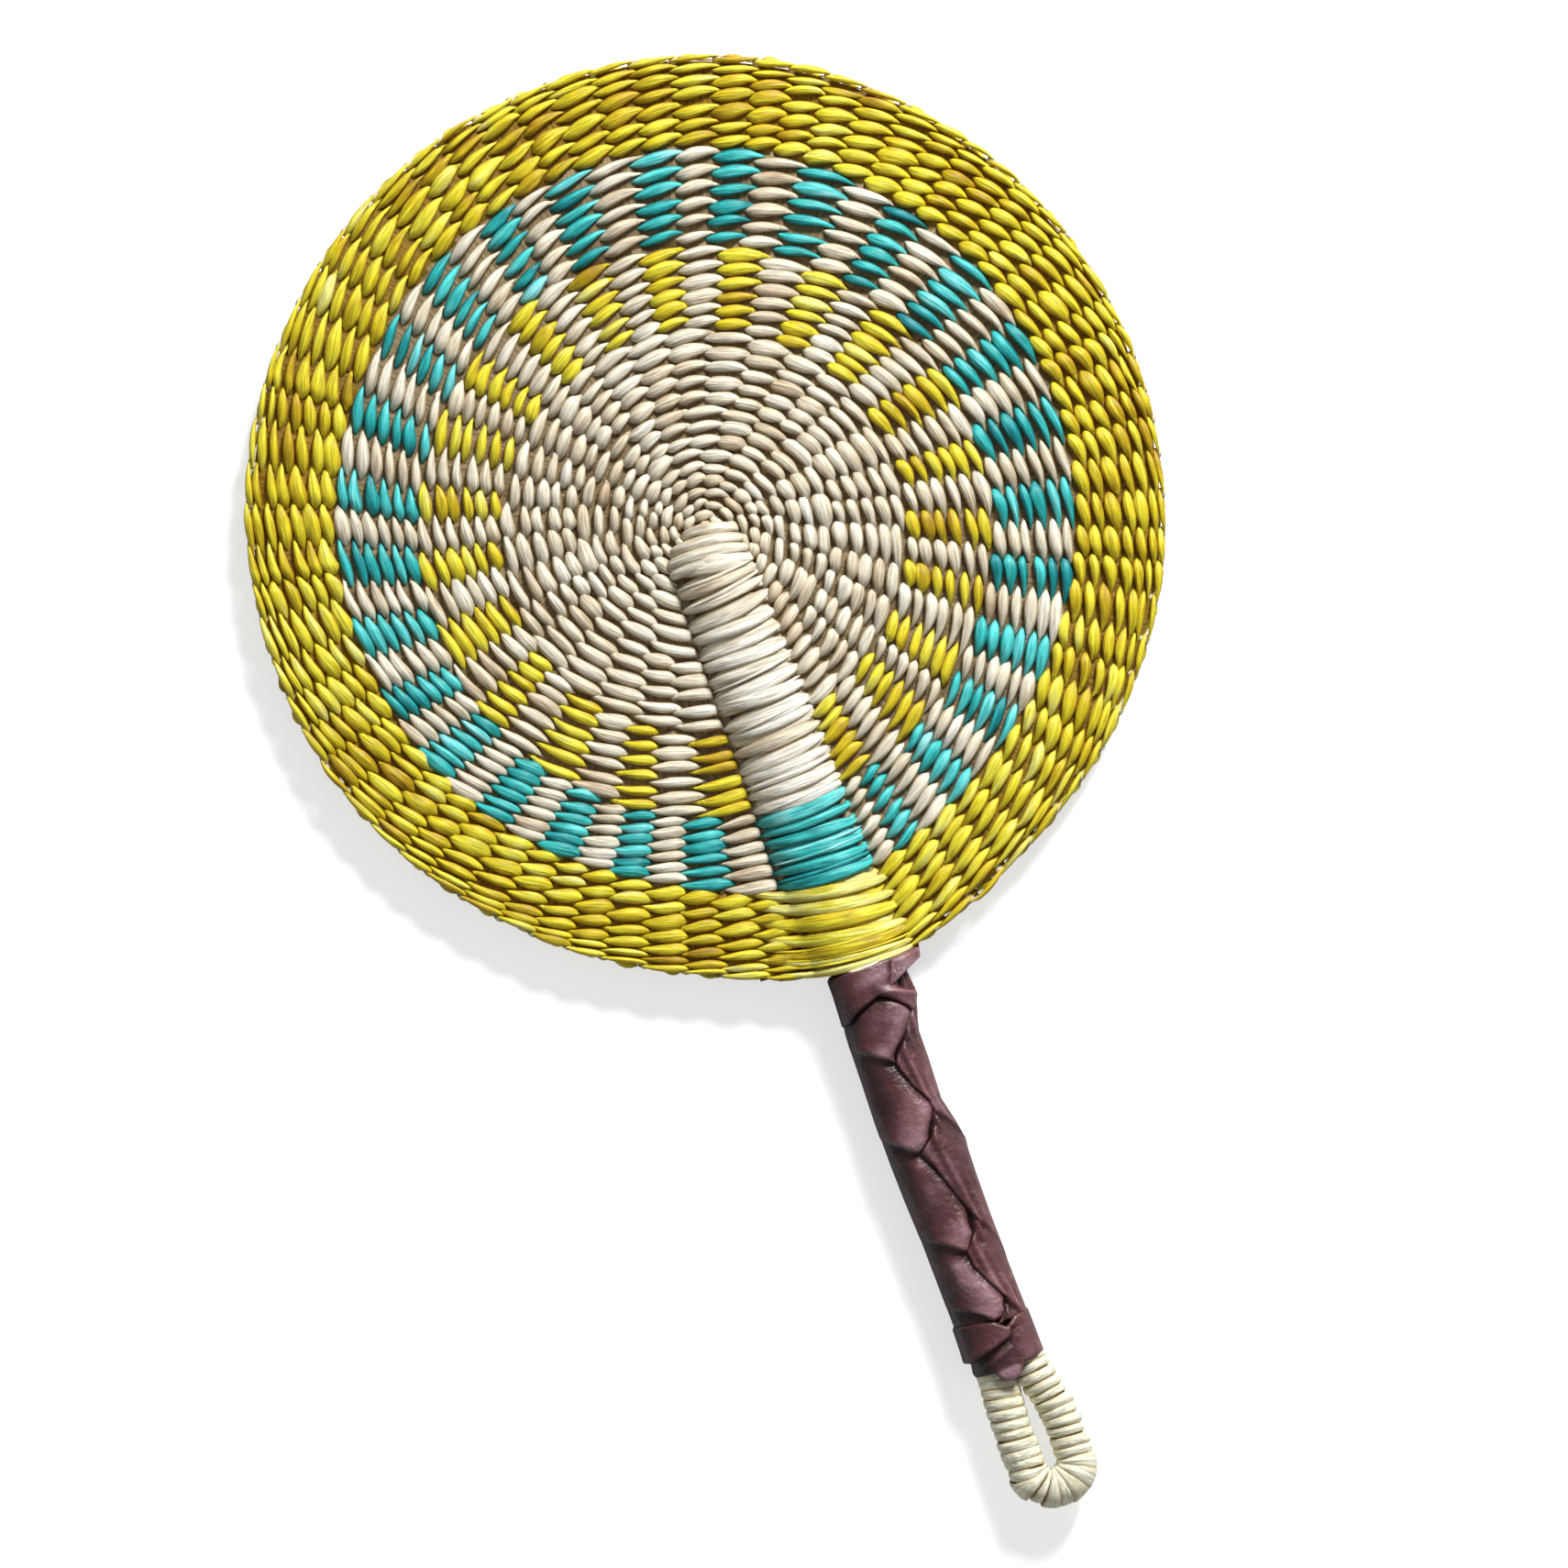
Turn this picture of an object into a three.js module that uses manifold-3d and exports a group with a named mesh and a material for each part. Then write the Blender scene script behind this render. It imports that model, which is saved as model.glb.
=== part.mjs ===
// A round hand fan, twined from straw over folded spokes, with a leather covered grip and a hanging loop.
// Millimetres. The fan lies on its back on the table, z = 0. +Z is the front, and the handle runs along -Y.

import * as THREE from 'three';
import { mergeVertices } from 'three/addons/utils/BufferGeometryUtils.js';
import Module from 'manifold-3d';

const wasm = await Module();
wasm.setup();

// Driving sizes of the disc
const CENTER_RADIUS = 57.7;            // the plain middle
const YELLOW_DASH_WIDTH = 24;
const TEAL_DASH_WIDTH = 24.3;
const BORDER_WIDTH = 24.8;
const DISC_THICKNESS = 5.6;
const WEAVE_START_X = 1.4;             // the first row goes round a point beside the handle's axis
const DISC_SHIFT_X = 3.7;              // the rows drift from there to the middle of the rim
const DISC_SHIFT_Y = 4.8;
const CLEARANCE = 0.3;                 // left between pieces that touch on the real fan

// The handle: a straw core, thin in the disc and full in the grip, under a leather cover
const CORE_RADIUS = 5.5;
const CORE_TIP = -4;
const CORE_SIDES = 16;
const GRIP_WIDTH = 22;
const GRIP_FRONT_HEIGHT = 8.6;
const GRIP_PRESS = 2.4;                // how much the table flattens the round back
const GRIP_SIDES = 28;
const LEATHER_THICKNESS = 1.5;
const COLLAR_LENGTH = 14.5;
const WRAP_LENGTH = 95;
const END_BAND_LENGTH = 16;
const END_BAND_EASE = 2.6;             // spare width round the loop's legs
const TAB_LENGTH = 7.5;                // the loose end of leather that stands out beside the rim
const TAB_TOP_WIDTH = 4.2;
const TAB_ROOT_WIDTH = 12;

// The strips of weaving that cross the core
const SPINE_TOP_WIDTH = 19.5;
const SPINE_RIM_WIDTH = 26.5;
const SPINE_START = 3;                 // the strips round the tip of the core begin here
const SPINE_SIDES = 20;
const STRIP_FRONT_THICKNESS = 2.2;
const STRIP_BACK_THICKNESS = 2.7;
const STRIP_PRESS = 2.4;               // how much the table flattens the round back

// The spokes: straws folded in two, added in rounds as the disc grows
const STRAW_WIDTH = 1.8;
const STRAW_THICKNESS = 1.6;
const STRAW_TIP = 0.5;                 // how far the cut ends stand out of the rim
const FOLD_STEPS = 4;
const FOLD_DEPTH = 2.6;                // how far a wide fold bows towards the disc's middle
const FOLD_INSET = 4.5;                // how far inside its band a round of new spokes begins
const FIRST_FOLD_MARGIN = 0.7;
const SECOND_FOLD_RADIUS = 36;

// The hanging loop: a bent bundle of straw, wound all along with one strand
const LOOP_SHIFT = 1.5;                // the loop sits a little to the right of the handle's axis
const LOOP_HOLE_WIDTH = 5.2;
const LOOP_LENGTH = 42.5;              // out of the leather, over all
const LOOP_MOUTH_GAP = 0.8;            // between the wound legs where they leave the leather
const LOOP_SPLAY = 10;                 // the length over which the legs part below the leather
const LOOP_CORE_RADIUS = 2.9;
const LOOP_CORE_SIDES = 8;
const LOOP_CORE_STEPS = 44;
const STRAND_THICKNESS = 1.8;
const STRAND_WIDTH = 2.8;
const STRAND_GAP = 0.8;                // between neighbouring turns
const STRAND_RUN = 3;                  // the strand's straight ends
const STRAND_SIDES = 6;
const TURNS = 23;
const STEPS_PER_TURN = 16;

// Where the two leather wraps meet on the front: across the grip, and as a share of the wrap's length
const SEAM = [
  [9, 0],
  [4.4, 0.14],
  [0, 0.19],
  [5.6, 0.35],
  [-3.8, 0.47],
  [4.7, 0.68],
  [0.8, 0.83],
  [6.5, 0.96],
  [0.6, 1],
];

// Sizes that follow from those
const DISC_RADIUS = CENTER_RADIUS + YELLOW_DASH_WIDTH + TEAL_DASH_WIDTH + BORDER_WIDTH;
const WEAVE_START = new THREE.Vector2(WEAVE_START_X, 0);
const DISC_CENTER = new THREE.Vector2(DISC_SHIFT_X, DISC_SHIFT_Y);
const CORE_HOLE_RADIUS = CORE_RADIUS + CLEARANCE;
const CORE_ROOM = CORE_HOLE_RADIUS + CLEARANCE + STRAW_WIDTH;   // from the handle's axis to the first folds
const AXIS_HEIGHT = CORE_HOLE_RADIUS + STRIP_BACK_THICKNESS;    // of the handle and the disc over the table
const SPINE_FRONT_HEIGHT = CORE_HOLE_RADIUS + STRIP_FRONT_THICKNESS;
const SPINE_BACK_HEIGHT = AXIS_HEIGHT + STRIP_PRESS;
const GRIP_TOP = DISC_CENTER.y - DISC_RADIUS - CLEARANCE;
const COLLAR_END = GRIP_TOP - COLLAR_LENGTH;
const WRAP_END = COLLAR_END - WRAP_LENGTH;
const GRIP_END = WRAP_END - END_BAND_LENGTH;
const LOOP_WOUND_RADIUS = LOOP_CORE_RADIUS + CLEARANCE + STRAND_THICKNESS;
const LOOP_SPACING = LOOP_HOLE_WIDTH + 2 * LOOP_WOUND_RADIUS;   // between the middles of its two legs
const LOOP_ROOT_SPACING = LOOP_MOUTH_GAP + 2 * LOOP_WOUND_RADIUS;
const END_BAND_WIDTH = LOOP_ROOT_SPACING + 2 * (LOOP_CORE_RADIUS + LEATHER_THICKNESS) + END_BAND_EASE;

// The bands of weaving from the middle outwards, and the rounds of spokes that begin in them
const BANDS = [
  { name: 'weft_center_natural', outer: CENTER_RADIUS, color: 0xcdb894, segments: 24 },
  { name: 'weft_yellow_dash', outer: CENTER_RADIUS + YELLOW_DASH_WIDTH, color: 0xc9b85a, segments: 30 },
  { name: 'weft_teal_dash', outer: DISC_RADIUS - BORDER_WIDTH, color: 0x4fa79a, segments: 36 },
  { name: 'weft_yellow_border', outer: DISC_RADIUS, color: 0xc7b016, segments: 36 },
];
const ROUNDS = [
  { pairs: 8, radius: CORE_ROOM + WEAVE_START_X + FIRST_FOLD_MARGIN },
  { pairs: 8, radius: SECOND_FOLD_RADIUS },
  { pairs: 7, radius: BANDS[0].outer + FOLD_INSET },
  { pairs: 5, radius: BANDS[1].outer + FOLD_INSET },
  { pairs: 8, radius: BANDS[2].outer + FOLD_INSET },
];

// Finishes
const STRAW = { color: 0xcfb88e, roughness: 0.75 };
const LOOP_STRAW = { color: 0xe6d5a6, roughness: 0.5 };
const LEATHER = { color: 0x5a3b3b, roughness: 0.5 };
const WEAVE_ROUGHNESS = 0.55;
const fan = new THREE.Group();

// Geometry to solid and back
function toSolid(geometry) {
  const bare = geometry.clone();
  bare.deleteAttribute('normal');
  bare.deleteAttribute('uv');
  const merged = mergeVertices(bare);
  return new wasm.Manifold(new wasm.Mesh({
    numProp: 3,
    vertProperties: merged.attributes.position.array,
    triVerts: merged.index.array,
  }));
}

function toGeometry(solid) {
  const mesh = solid.getMesh();
  const geometry = new THREE.BufferGeometry();
  geometry.setAttribute('position', new THREE.BufferAttribute(mesh.vertProperties, 3));
  geometry.setIndex(new THREE.BufferAttribute(mesh.triVerts, 1));
  return geometry;
}

function addPiece(name, geometry, finish) {
  const material = new THREE.MeshStandardMaterial({ ...finish, metalness: 0 });
  const mesh = new THREE.Mesh(geometry, material);
  mesh.name = name;
  fan.add(mesh);
}

// A flat shape in the disc's plane, given a thickness evenly about that plane
function plate(shape, thickness, segments) {
  const geometry = new THREE.ExtrudeGeometry(shape, {
    depth: thickness,
    bevelEnabled: false,
    curveSegments: segments,
  });
  return geometry.translate(0, 0, -thickness / 2);
}

// An oval across the handle: round at the front, pressed flat by the table at the back
function ovalShape(width, frontHeight, backHeight, flat, sides) {
  const points = [];
  for (let i = 0; i < sides; i += 1) {
    const turn = (2 * Math.PI * i) / sides;
    const rise = Math.sin(turn);
    const height = rise > 0 ? rise * frontHeight : Math.max(rise * backHeight, -flat);
    points.push(new THREE.Vector2((width / 2) * Math.cos(turn), height));
  }
  return new THREE.Shape(points);
}

function roundShape(radius, sides) {
  return ovalShape(2 * radius, radius, radius, radius, sides);
}

// A shape across the handle, run along it from one place to another
function along(shape, from, to) {
  const geometry = new THREE.ExtrudeGeometry(shape, { depth: from - to, bevelEnabled: false });
  geometry.rotateX(Math.PI / 2);
  return geometry.translate(0, from, 0);
}

// Row centres move from the weave's start to the disc's centre
function rowCenter(radius) {
  return WEAVE_START.clone().lerp(DISC_CENTER, radius / DISC_RADIUS);
}

// A point on a row: the angle turns from the handle's direction towards +X
function onRow(radius, angle) {
  const center = rowCenter(radius);
  return new THREE.Vector2(center.x + radius * Math.sin(angle), center.y - radius * Math.cos(angle));
}

function angleOnRow(point, radius) {
  const arm = point.clone().sub(rowCenter(radius));
  const angle = Math.atan2(arm.x, -arm.y);
  return angle < 0 ? angle + 2 * Math.PI : angle;
}

// Spokes: the order of all legs round the disc, each new pair going into one of the widest gaps
function orderLegs() {
  const firstLegs = 2 * ROUNDS[0].pairs;
  let order = [];
  for (let i = 0; i < firstLegs; i += 1) {
    order.push({ round: 0, place: i / (firstLegs - 1) });
  }
  for (let round = 1; round < ROUNDS.length; round += 1) {
    const gaps = order.slice(1).map((leg, i) => leg.place - order[i].place);
    const nearlyWidest = 0.9 * Math.max(...gaps);
    const wide = gaps.map((gap, i) => i).filter((i) => gaps[i] > nearlyWidest);
    const count = ROUNDS[round].pairs;
    for (let k = 0; k < count; k += 1) {
      const gap = wide[Math.floor(((k + 0.5) * wide.length) / count)];
      const left = order[gap].place;
      order.push({ round, place: left + gaps[gap] / 3 });
      order.push({ round, place: left + (gaps[gap] * 2) / 3 });
    }
    order = order.sort((a, b) => a.place - b.place);
  }
  return order;
}

// Even angles round a row that leave room on both sides of the handle's axis
function anglesBesideHandle(radius, room, count) {
  const center = rowCenter(radius);
  const right = Math.asin((room - center.x) / radius);
  const left = Math.asin((room + center.x) / radius);
  const step = (2 * Math.PI - right - left) / (count - 1);
  return Array.from({ length: count }, (unused, i) => right + i * step);
}

// Every leg runs straight from its fold to its own place on the rim
function placeLegs() {
  const legs = orderLegs();
  const rimRoom = SPINE_RIM_WIDTH / 2 + STRAW_WIDTH;
  const rimAngles = anglesBesideHandle(DISC_RADIUS, rimRoom, legs.length);
  legs.forEach((leg, i) => {
    leg.tip = onRow(DISC_RADIUS, rimAngles[i]);
  });
  const firstLegs = legs.filter((leg) => leg.round === 0);
  const firstAngles = anglesBesideHandle(ROUNDS[0].radius, CORE_ROOM, firstLegs.length);
  firstLegs.forEach((leg, i) => {
    leg.fold = onRow(ROUNDS[0].radius, firstAngles[i]);
  });
  for (let round = 1; round < ROUNDS.length; round += 1) {
    const radius = ROUNDS[round].radius;
    const standing = legs.filter((leg) => leg.round <= round);
    standing.forEach((leg, i) => {
      if (leg.round === round && standing[i - 1].round < round) {
        const before = angleOnRow(legAtRadius(standing[i - 1], radius), radius);
        const after = angleOnRow(legAtRadius(standing[i + 2], radius), radius);
        leg.fold = onRow(radius, before + (after - before) / 3);
        standing[i + 1].fold = onRow(radius, before + ((after - before) * 2) / 3);
      }
    });
  }
  return legs;
}

function legAtRadius(leg, radius) {
  const center = rowCenter(radius);
  const way = leg.tip.clone().sub(leg.fold);
  const start = leg.fold.clone().sub(center);
  const a = way.lengthSq();
  const b = start.dot(way);
  const c = start.lengthSq() - radius * radius;
  const share = (Math.sqrt(b * b - a * c) - b) / a;
  return leg.fold.clone().addScaledVector(way, share);
}

// The middle line of a folded straw: in from the rim, round the fold and out again
function foldedLine(first, second, overrun) {
  const middle = first.fold.clone().lerp(second.fold, 0.5);
  const arm = first.fold.clone().sub(middle);
  const inward = rowCenter(0).sub(middle).normalize();
  const depth = Math.min(arm.length(), FOLD_DEPTH);
  const points = [runPast(first, overrun)];
  for (let i = 0; i <= FOLD_STEPS; i += 1) {
    const turn = (Math.PI * i) / FOLD_STEPS;
    const across = arm.clone().multiplyScalar(Math.cos(turn));
    points.push(middle.clone().add(across).addScaledVector(inward, depth * Math.sin(turn)));
  }
  points.push(runPast(second, overrun));
  return points;
}

function runPast(leg, overrun) {
  const way = leg.tip.clone().sub(leg.fold).normalize();
  return leg.tip.clone().addScaledVector(way, overrun);
}

// A flat strip of even width along a line of points
function stripShape(line, width) {
  const left = [];
  const right = [];
  line.forEach((point, i) => {
    const before = line[Math.max(i - 1, 0)];
    const after = line[Math.min(i + 1, line.length - 1)];
    const wayIn = point.clone().sub(before).normalize();
    const wayOut = after.clone().sub(point).normalize();
    const way = wayIn.clone().add(wayOut).normalize();
    const side = new THREE.Vector2(-way.y, way.x);
    const miter = i === 0 || i === line.length - 1 ? 1 : way.dot(wayOut);
    left.push(point.clone().addScaledVector(side, width / 2 / miter));
    right.unshift(point.clone().addScaledVector(side, -width / 2 / miter));
  });
  return new THREE.Shape([...left, ...right]);
}

function makeSpokes() {
  const legs = placeLegs();
  const pairs = [];
  for (let i = 0; i < legs.length; i += 1) {
    const first = legs[i];
    if (first.paired) {
      continue;
    }
    const second = legs.slice(i + 1).find((leg) => leg.round === first.round);
    second.paired = true;
    pairs.push({
      round: first.round,
      body: plate(stripShape(foldedLine(first, second, STRAW_TIP), STRAW_WIDTH), STRAW_THICKNESS),
      tunnel: plate(
        stripShape(foldedLine(first, second, DISC_THICKNESS), STRAW_WIDTH + 2 * CLEARANCE),
        STRAW_THICKNESS + 2 * CLEARANCE,
      ),
    });
  }
  return pairs;
}

// Bands of weaving: a ring, the strips that cross the handle core, and tunnels for core and spokes
function makeBand(index, spokes) {
  const band = BANDS[index];
  const outerRadius = index === BANDS.length - 1 ? band.outer : band.outer - CLEARANCE / 2;
  const outerCenter = rowCenter(band.outer);
  const ring = new THREE.Shape();
  ring.absarc(outerCenter.x, outerCenter.y, outerRadius, 0, 2 * Math.PI);
  if (index > 0) {
    const inner = BANDS[index - 1].outer;
    const innerCenter = rowCenter(inner);
    const hole = new THREE.Path();
    hole.absarc(innerCenter.x, innerCenter.y, inner + CLEARANCE / 2, 0, 2 * Math.PI);
    ring.holes.push(hole);
  }
  const tall = 2 * (SPINE_FRONT_HEIGHT + SPINE_BACK_HEIGHT);
  const width = THREE.MathUtils.lerp(SPINE_TOP_WIDTH, SPINE_RIM_WIDTH, index / (BANDS.length - 1));
  const section = ovalShape(width, SPINE_FRONT_HEIGHT, SPINE_BACK_HEIGHT, AXIS_HEIGHT, SPINE_SIDES);
  const strips = toSolid(along(section, SPINE_START, GRIP_TOP))
    .intersect(toSolid(plate(ring, tall, band.segments)));
  let solid = toSolid(plate(ring, DISC_THICKNESS, band.segments)).add(strips);
  const coreHole = roundShape(CORE_HOLE_RADIUS, CORE_SIDES);
  solid = solid.subtract(toSolid(along(coreHole, CORE_TIP + CLEARANCE, GRIP_TOP)));
  spokes.filter((pair) => pair.round <= index + 1).forEach((pair) => {
    solid = solid.subtract(toSolid(pair.tunnel));
  });
  addPiece(band.name, toGeometry(solid), { color: band.color, roughness: WEAVE_ROUGHNESS });
}

// The handle core: a thin rod in the disc and a full bundle in the grip
function makeHandleCore() {
  const rod = roundShape(CORE_RADIUS, CORE_SIDES);
  const bundle = gripOval(GRIP_WIDTH, LEATHER_THICKNESS + CLEARANCE);
  const shoulder = GRIP_TOP - CLEARANCE;
  const solid = toSolid(along(rod, CORE_TIP, shoulder)).add(toSolid(along(bundle, shoulder, WRAP_END)));
  addPiece('handle_core', toGeometry(solid), STRAW);
}

// The grip's outline, drawn in by a depth from the leather's outside
function gripOval(width, depth) {
  return ovalShape(
    width - 2 * depth,
    GRIP_FRONT_HEIGHT - depth,
    AXIS_HEIGHT + GRIP_PRESS - depth,
    AXIS_HEIGHT - depth,
    GRIP_SIDES,
  );
}

// A length of the leather cover
function leatherTube(width, from, to) {
  const shape = gripOval(width, 0);
  shape.holes.push(new THREE.Path(gripOval(width, LEATHER_THICKNESS).getPoints()));
  return toSolid(along(shape, from, to));
}

// The loose end of leather on the collar's right flank, just under the rim
function makeTab() {
  const root = GRIP_WIDTH / 2 + CLEARANCE;
  const top = GRIP_TOP - CLEARANCE;
  const shape = new THREE.Shape([
    new THREE.Vector2(root, top),
    new THREE.Vector2(root, top - TAB_ROOT_WIDTH),
    new THREE.Vector2(root + TAB_LENGTH, top - TAB_TOP_WIDTH),
    new THREE.Vector2(root + TAB_LENGTH, top),
  ]);
  addPiece('leather_tab', plate(shape, LEATHER_THICKNESS), LEATHER);
}

// Everything on one side of the seam: the zigzag at the front, the middle line at the back
function seamSide(side) {
  const reach = GRIP_WIDTH;
  const shift = (side * CLEARANCE) / 2;
  const front = SEAM.map(([x, share]) => new THREE.Vector2(x + shift, COLLAR_END - share * WRAP_LENGTH));
  front[0].y += reach;
  front[front.length - 1].y -= reach;
  front.push(new THREE.Vector2(side * reach, WRAP_END - reach));
  front.push(new THREE.Vector2(side * reach, COLLAR_END + reach));
  const back = [
    new THREE.Vector2(shift, COLLAR_END + reach),
    new THREE.Vector2(shift, WRAP_END - reach),
    new THREE.Vector2(side * reach, WRAP_END - reach),
    new THREE.Vector2(side * reach, COLLAR_END + reach),
  ];
  const frontBlock = plate(new THREE.Shape(front), reach).translate(0, 0, reach / 2);
  const backBlock = plate(new THREE.Shape(back), reach).translate(0, 0, -reach / 2);
  return toSolid(frontBlock).add(toSolid(backBlock));
}

function makeLeather() {
  const collar = leatherTube(GRIP_WIDTH, GRIP_TOP - CLEARANCE, COLLAR_END + CLEARANCE / 2);
  const wrap = leatherTube(GRIP_WIDTH, COLLAR_END - CLEARANCE / 2, WRAP_END + CLEARANCE / 2);
  const endBand = leatherTube(END_BAND_WIDTH, WRAP_END - CLEARANCE / 2, GRIP_END);
  addPiece('leather_collar', toGeometry(collar), LEATHER);
  addPiece('leather_wrap_left', toGeometry(wrap.intersect(seamSide(-1))), LEATHER);
  addPiece('leather_wrap_right', toGeometry(wrap.intersect(seamSide(1))), LEATHER);
  addPiece('leather_end_band', toGeometry(endBand), LEATHER);
}

// The loop's middle line: out of the grip, round the bend and back
function loopLine() {
  const bendRadius = LOOP_SPACING / 2;
  const bendCenterY = GRIP_END - LOOP_LENGTH + bendRadius + LOOP_WOUND_RADIUS;
  const rootY = WRAP_END - CLEARANCE;
  const mouthY = GRIP_END - CLEARANCE;
  const splayY = mouthY - LOOP_SPLAY;
  const leg = (side) => {
    const root = new THREE.Vector3((side * LOOP_ROOT_SPACING) / 2, rootY, 0);
    const mouth = root.clone().setY(mouthY);
    const free = new THREE.Vector3(LOOP_SHIFT + side * bendRadius, splayY, 0);
    const mouthPull = mouth.clone().setY(mouthY - LOOP_SPLAY / 2);
    const freePull = free.clone().setY(splayY + LOOP_SPLAY / 2);
    return { root, mouth, mouthPull, freePull, free, end: free.clone().setY(bendCenterY) };
  };
  const left = leg(-1);
  const right = leg(1);
  const line = new THREE.CurvePath();
  line.add(new THREE.LineCurve3(left.root, left.mouth));
  line.add(new THREE.CubicBezierCurve3(left.mouth, left.mouthPull, left.freePull, left.free));
  line.add(new THREE.LineCurve3(left.free, left.end));
  line.add(new BendCurve(LOOP_SHIFT, bendCenterY, bendRadius));
  line.add(new THREE.LineCurve3(right.end, right.free));
  line.add(new THREE.CubicBezierCurve3(right.free, right.freePull, right.mouthPull, right.mouth));
  line.add(new THREE.LineCurve3(right.mouth, right.root));
  return line;
}

// A half circle in the disc's plane, open towards the disc, from left to right
class BendCurve extends THREE.Curve {
  constructor(centerX, centerY, radius) {
    super();
    this.center = new THREE.Vector3(centerX, centerY, 0);
    this.radius = radius;
  }

  getPoint(share, target = new THREE.Vector3()) {
    const turn = Math.PI * (1 + share);
    return target.set(
      this.center.x + this.radius * Math.cos(turn),
      this.center.y + this.radius * Math.sin(turn),
      0,
    );
  }
}

function makeLoopCore(line) {
  const geometry = new THREE.ExtrudeGeometry(roundShape(LOOP_CORE_RADIUS, LOOP_CORE_SIDES), {
    steps: LOOP_CORE_STEPS,
    bevelEnabled: false,
    extrudePath: line,
  });
  addPiece('loop_core', geometry, STRAW);
}

// The winding: one strand round the loop, narrow where it crowds inside the bend
function windingRings(line) {
  const whole = line.getLength();
  const from = line.curves[0].getLength();
  const to = whole - from;
  const woundLength = to - from - 2 * STRAND_RUN;
  const pitch = woundLength / TURNS;
  const lift = LOOP_WOUND_RADIUS - STRAND_THICKNESS / 2;
  const up = new THREE.Vector3(0, 0, 1);

  const wayAt = (reach) => line.getTangentAt(THREE.MathUtils.clamp(reach / whole, 0, 1));
  const strandPoint = ({ reach, turn }) => {
    const side = new THREE.Vector3().crossVectors(wayAt(reach), up);
    const out = side.multiplyScalar(Math.cos(turn)).addScaledVector(up, Math.sin(turn));
    return { point: line.getPointAt(reach / whole).addScaledVector(out, lift), out };
  };
  // the turns' spacing here, against that on a straight leg: under 1 on the inside of a bend
  const crowding = (reach, out) => {
    const bend = wayAt(reach + pitch / 2).sub(wayAt(reach - pitch / 2)).divideScalar(pitch);
    return 1 - lift * bend.dot(out);
  };

  const stations = [{ reach: from, turn: 0 }];
  const count = TURNS * STEPS_PER_TURN;
  for (let i = 0; i <= count; i += 1) {
    stations.push({
      reach: from + STRAND_RUN + (woundLength * i) / count,
      turn: (2 * Math.PI * TURNS * i) / count,
    });
  }
  stations.push({ reach: to, turn: 2 * Math.PI * TURNS });

  const spots = stations.map(strandPoint);
  return stations.map(({ reach }, i) => {
    const before = spots[Math.max(i - 1, 0)].point;
    const after = spots[Math.min(i + 1, spots.length - 1)].point;
    const way = after.clone().sub(before).normalize();
    const out = spots[i].out.clone();
    const across = new THREE.Vector3().crossVectors(way, out).normalize();
    const room = pitch * crowding(reach, out) - STRAND_GAP;
    const width = Math.min(STRAND_WIDTH, room);
    const ring = [];
    for (let k = 0; k < STRAND_SIDES; k += 1) {
      const corner = (2 * Math.PI * k) / STRAND_SIDES;
      ring.push(spots[i].point.clone()
        .addScaledVector(out, (STRAND_THICKNESS / 2) * Math.cos(corner))
        .addScaledVector(across, (width / 2) * Math.sin(corner)));
    }
    return ring;
  });
}

// Rings of points joined into one closed tube
function tubeOfRings(rings) {
  const sides = rings[0].length;
  const index = [];
  for (let i = 0; i + 1 < rings.length; i += 1) {
    for (let k = 0; k < sides; k += 1) {
      const a = i * sides + k;
      const b = i * sides + ((k + 1) % sides);
      index.push(a, b, a + sides, b, b + sides, a + sides);
    }
  }
  const last = (rings.length - 1) * sides;
  for (let k = 1; k + 1 < sides; k += 1) {
    index.push(0, k + 1, k);
    index.push(last, last + k, last + k + 1);
  }
  const geometry = new THREE.BufferGeometry().setFromPoints(rings.flat());
  geometry.setIndex(index);
  return geometry;
}

function leastGapToItself(rings) {
  const apart = Math.floor(STEPS_PER_TURN / 2);
  let least = Infinity;
  for (let i = 0; i < rings.length; i += 1) {
    for (let j = i + apart; j < rings.length; j += 1) {
      for (const a of rings[i]) {
        for (const b of rings[j]) {
          least = Math.min(least, a.distanceToSquared(b));
        }
      }
    }
  }
  return Math.sqrt(least);
}

function makeLoopWinding(line) {
  const rings = windingRings(line);
  console.log(`loop_winding: ${TURNS} turns, least gap to itself ${leastGapToItself(rings).toFixed(2)} mm`);
  addPiece('loop_winding', tubeOfRings(rings), LOOP_STRAW);
}

// The whole fan
const spokePairs = makeSpokes();
spokePairs.forEach((pair, i) => {
  addPiece(`spoke_pair_${String(i + 1).padStart(2, '0')}`, pair.body, STRAW);
});
BANDS.forEach((band, i) => makeBand(i, spokePairs));
makeHandleCore();
makeLeather();
makeTab();
const loop = loopLine();
makeLoopCore(loop);
makeLoopWinding(loop);

// The origin is under the middle of the whole fan
const topEnd = DISC_CENTER.y + DISC_RADIUS + STRAW_TIP;
const loopEnd = GRIP_END - LOOP_LENGTH;
fan.position.set(-DISC_CENTER.x, -(topEnd + loopEnd) / 2, AXIS_HEIGHT);
fan.updateMatrixWorld(true);

export default fan;
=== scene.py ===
# %% [markdown]
# A woven seagrass hand fan, lying flat.
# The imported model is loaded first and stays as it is: every piece of the fan stands in for CAD nodes.
# Sizes are in millimetres in the fan's own frame: the handle runs down along -Y, the weave starts near
# zero, and z = 0 is the middle of the disc. The helper on_fan turns that into metres in the model's frame.

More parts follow.
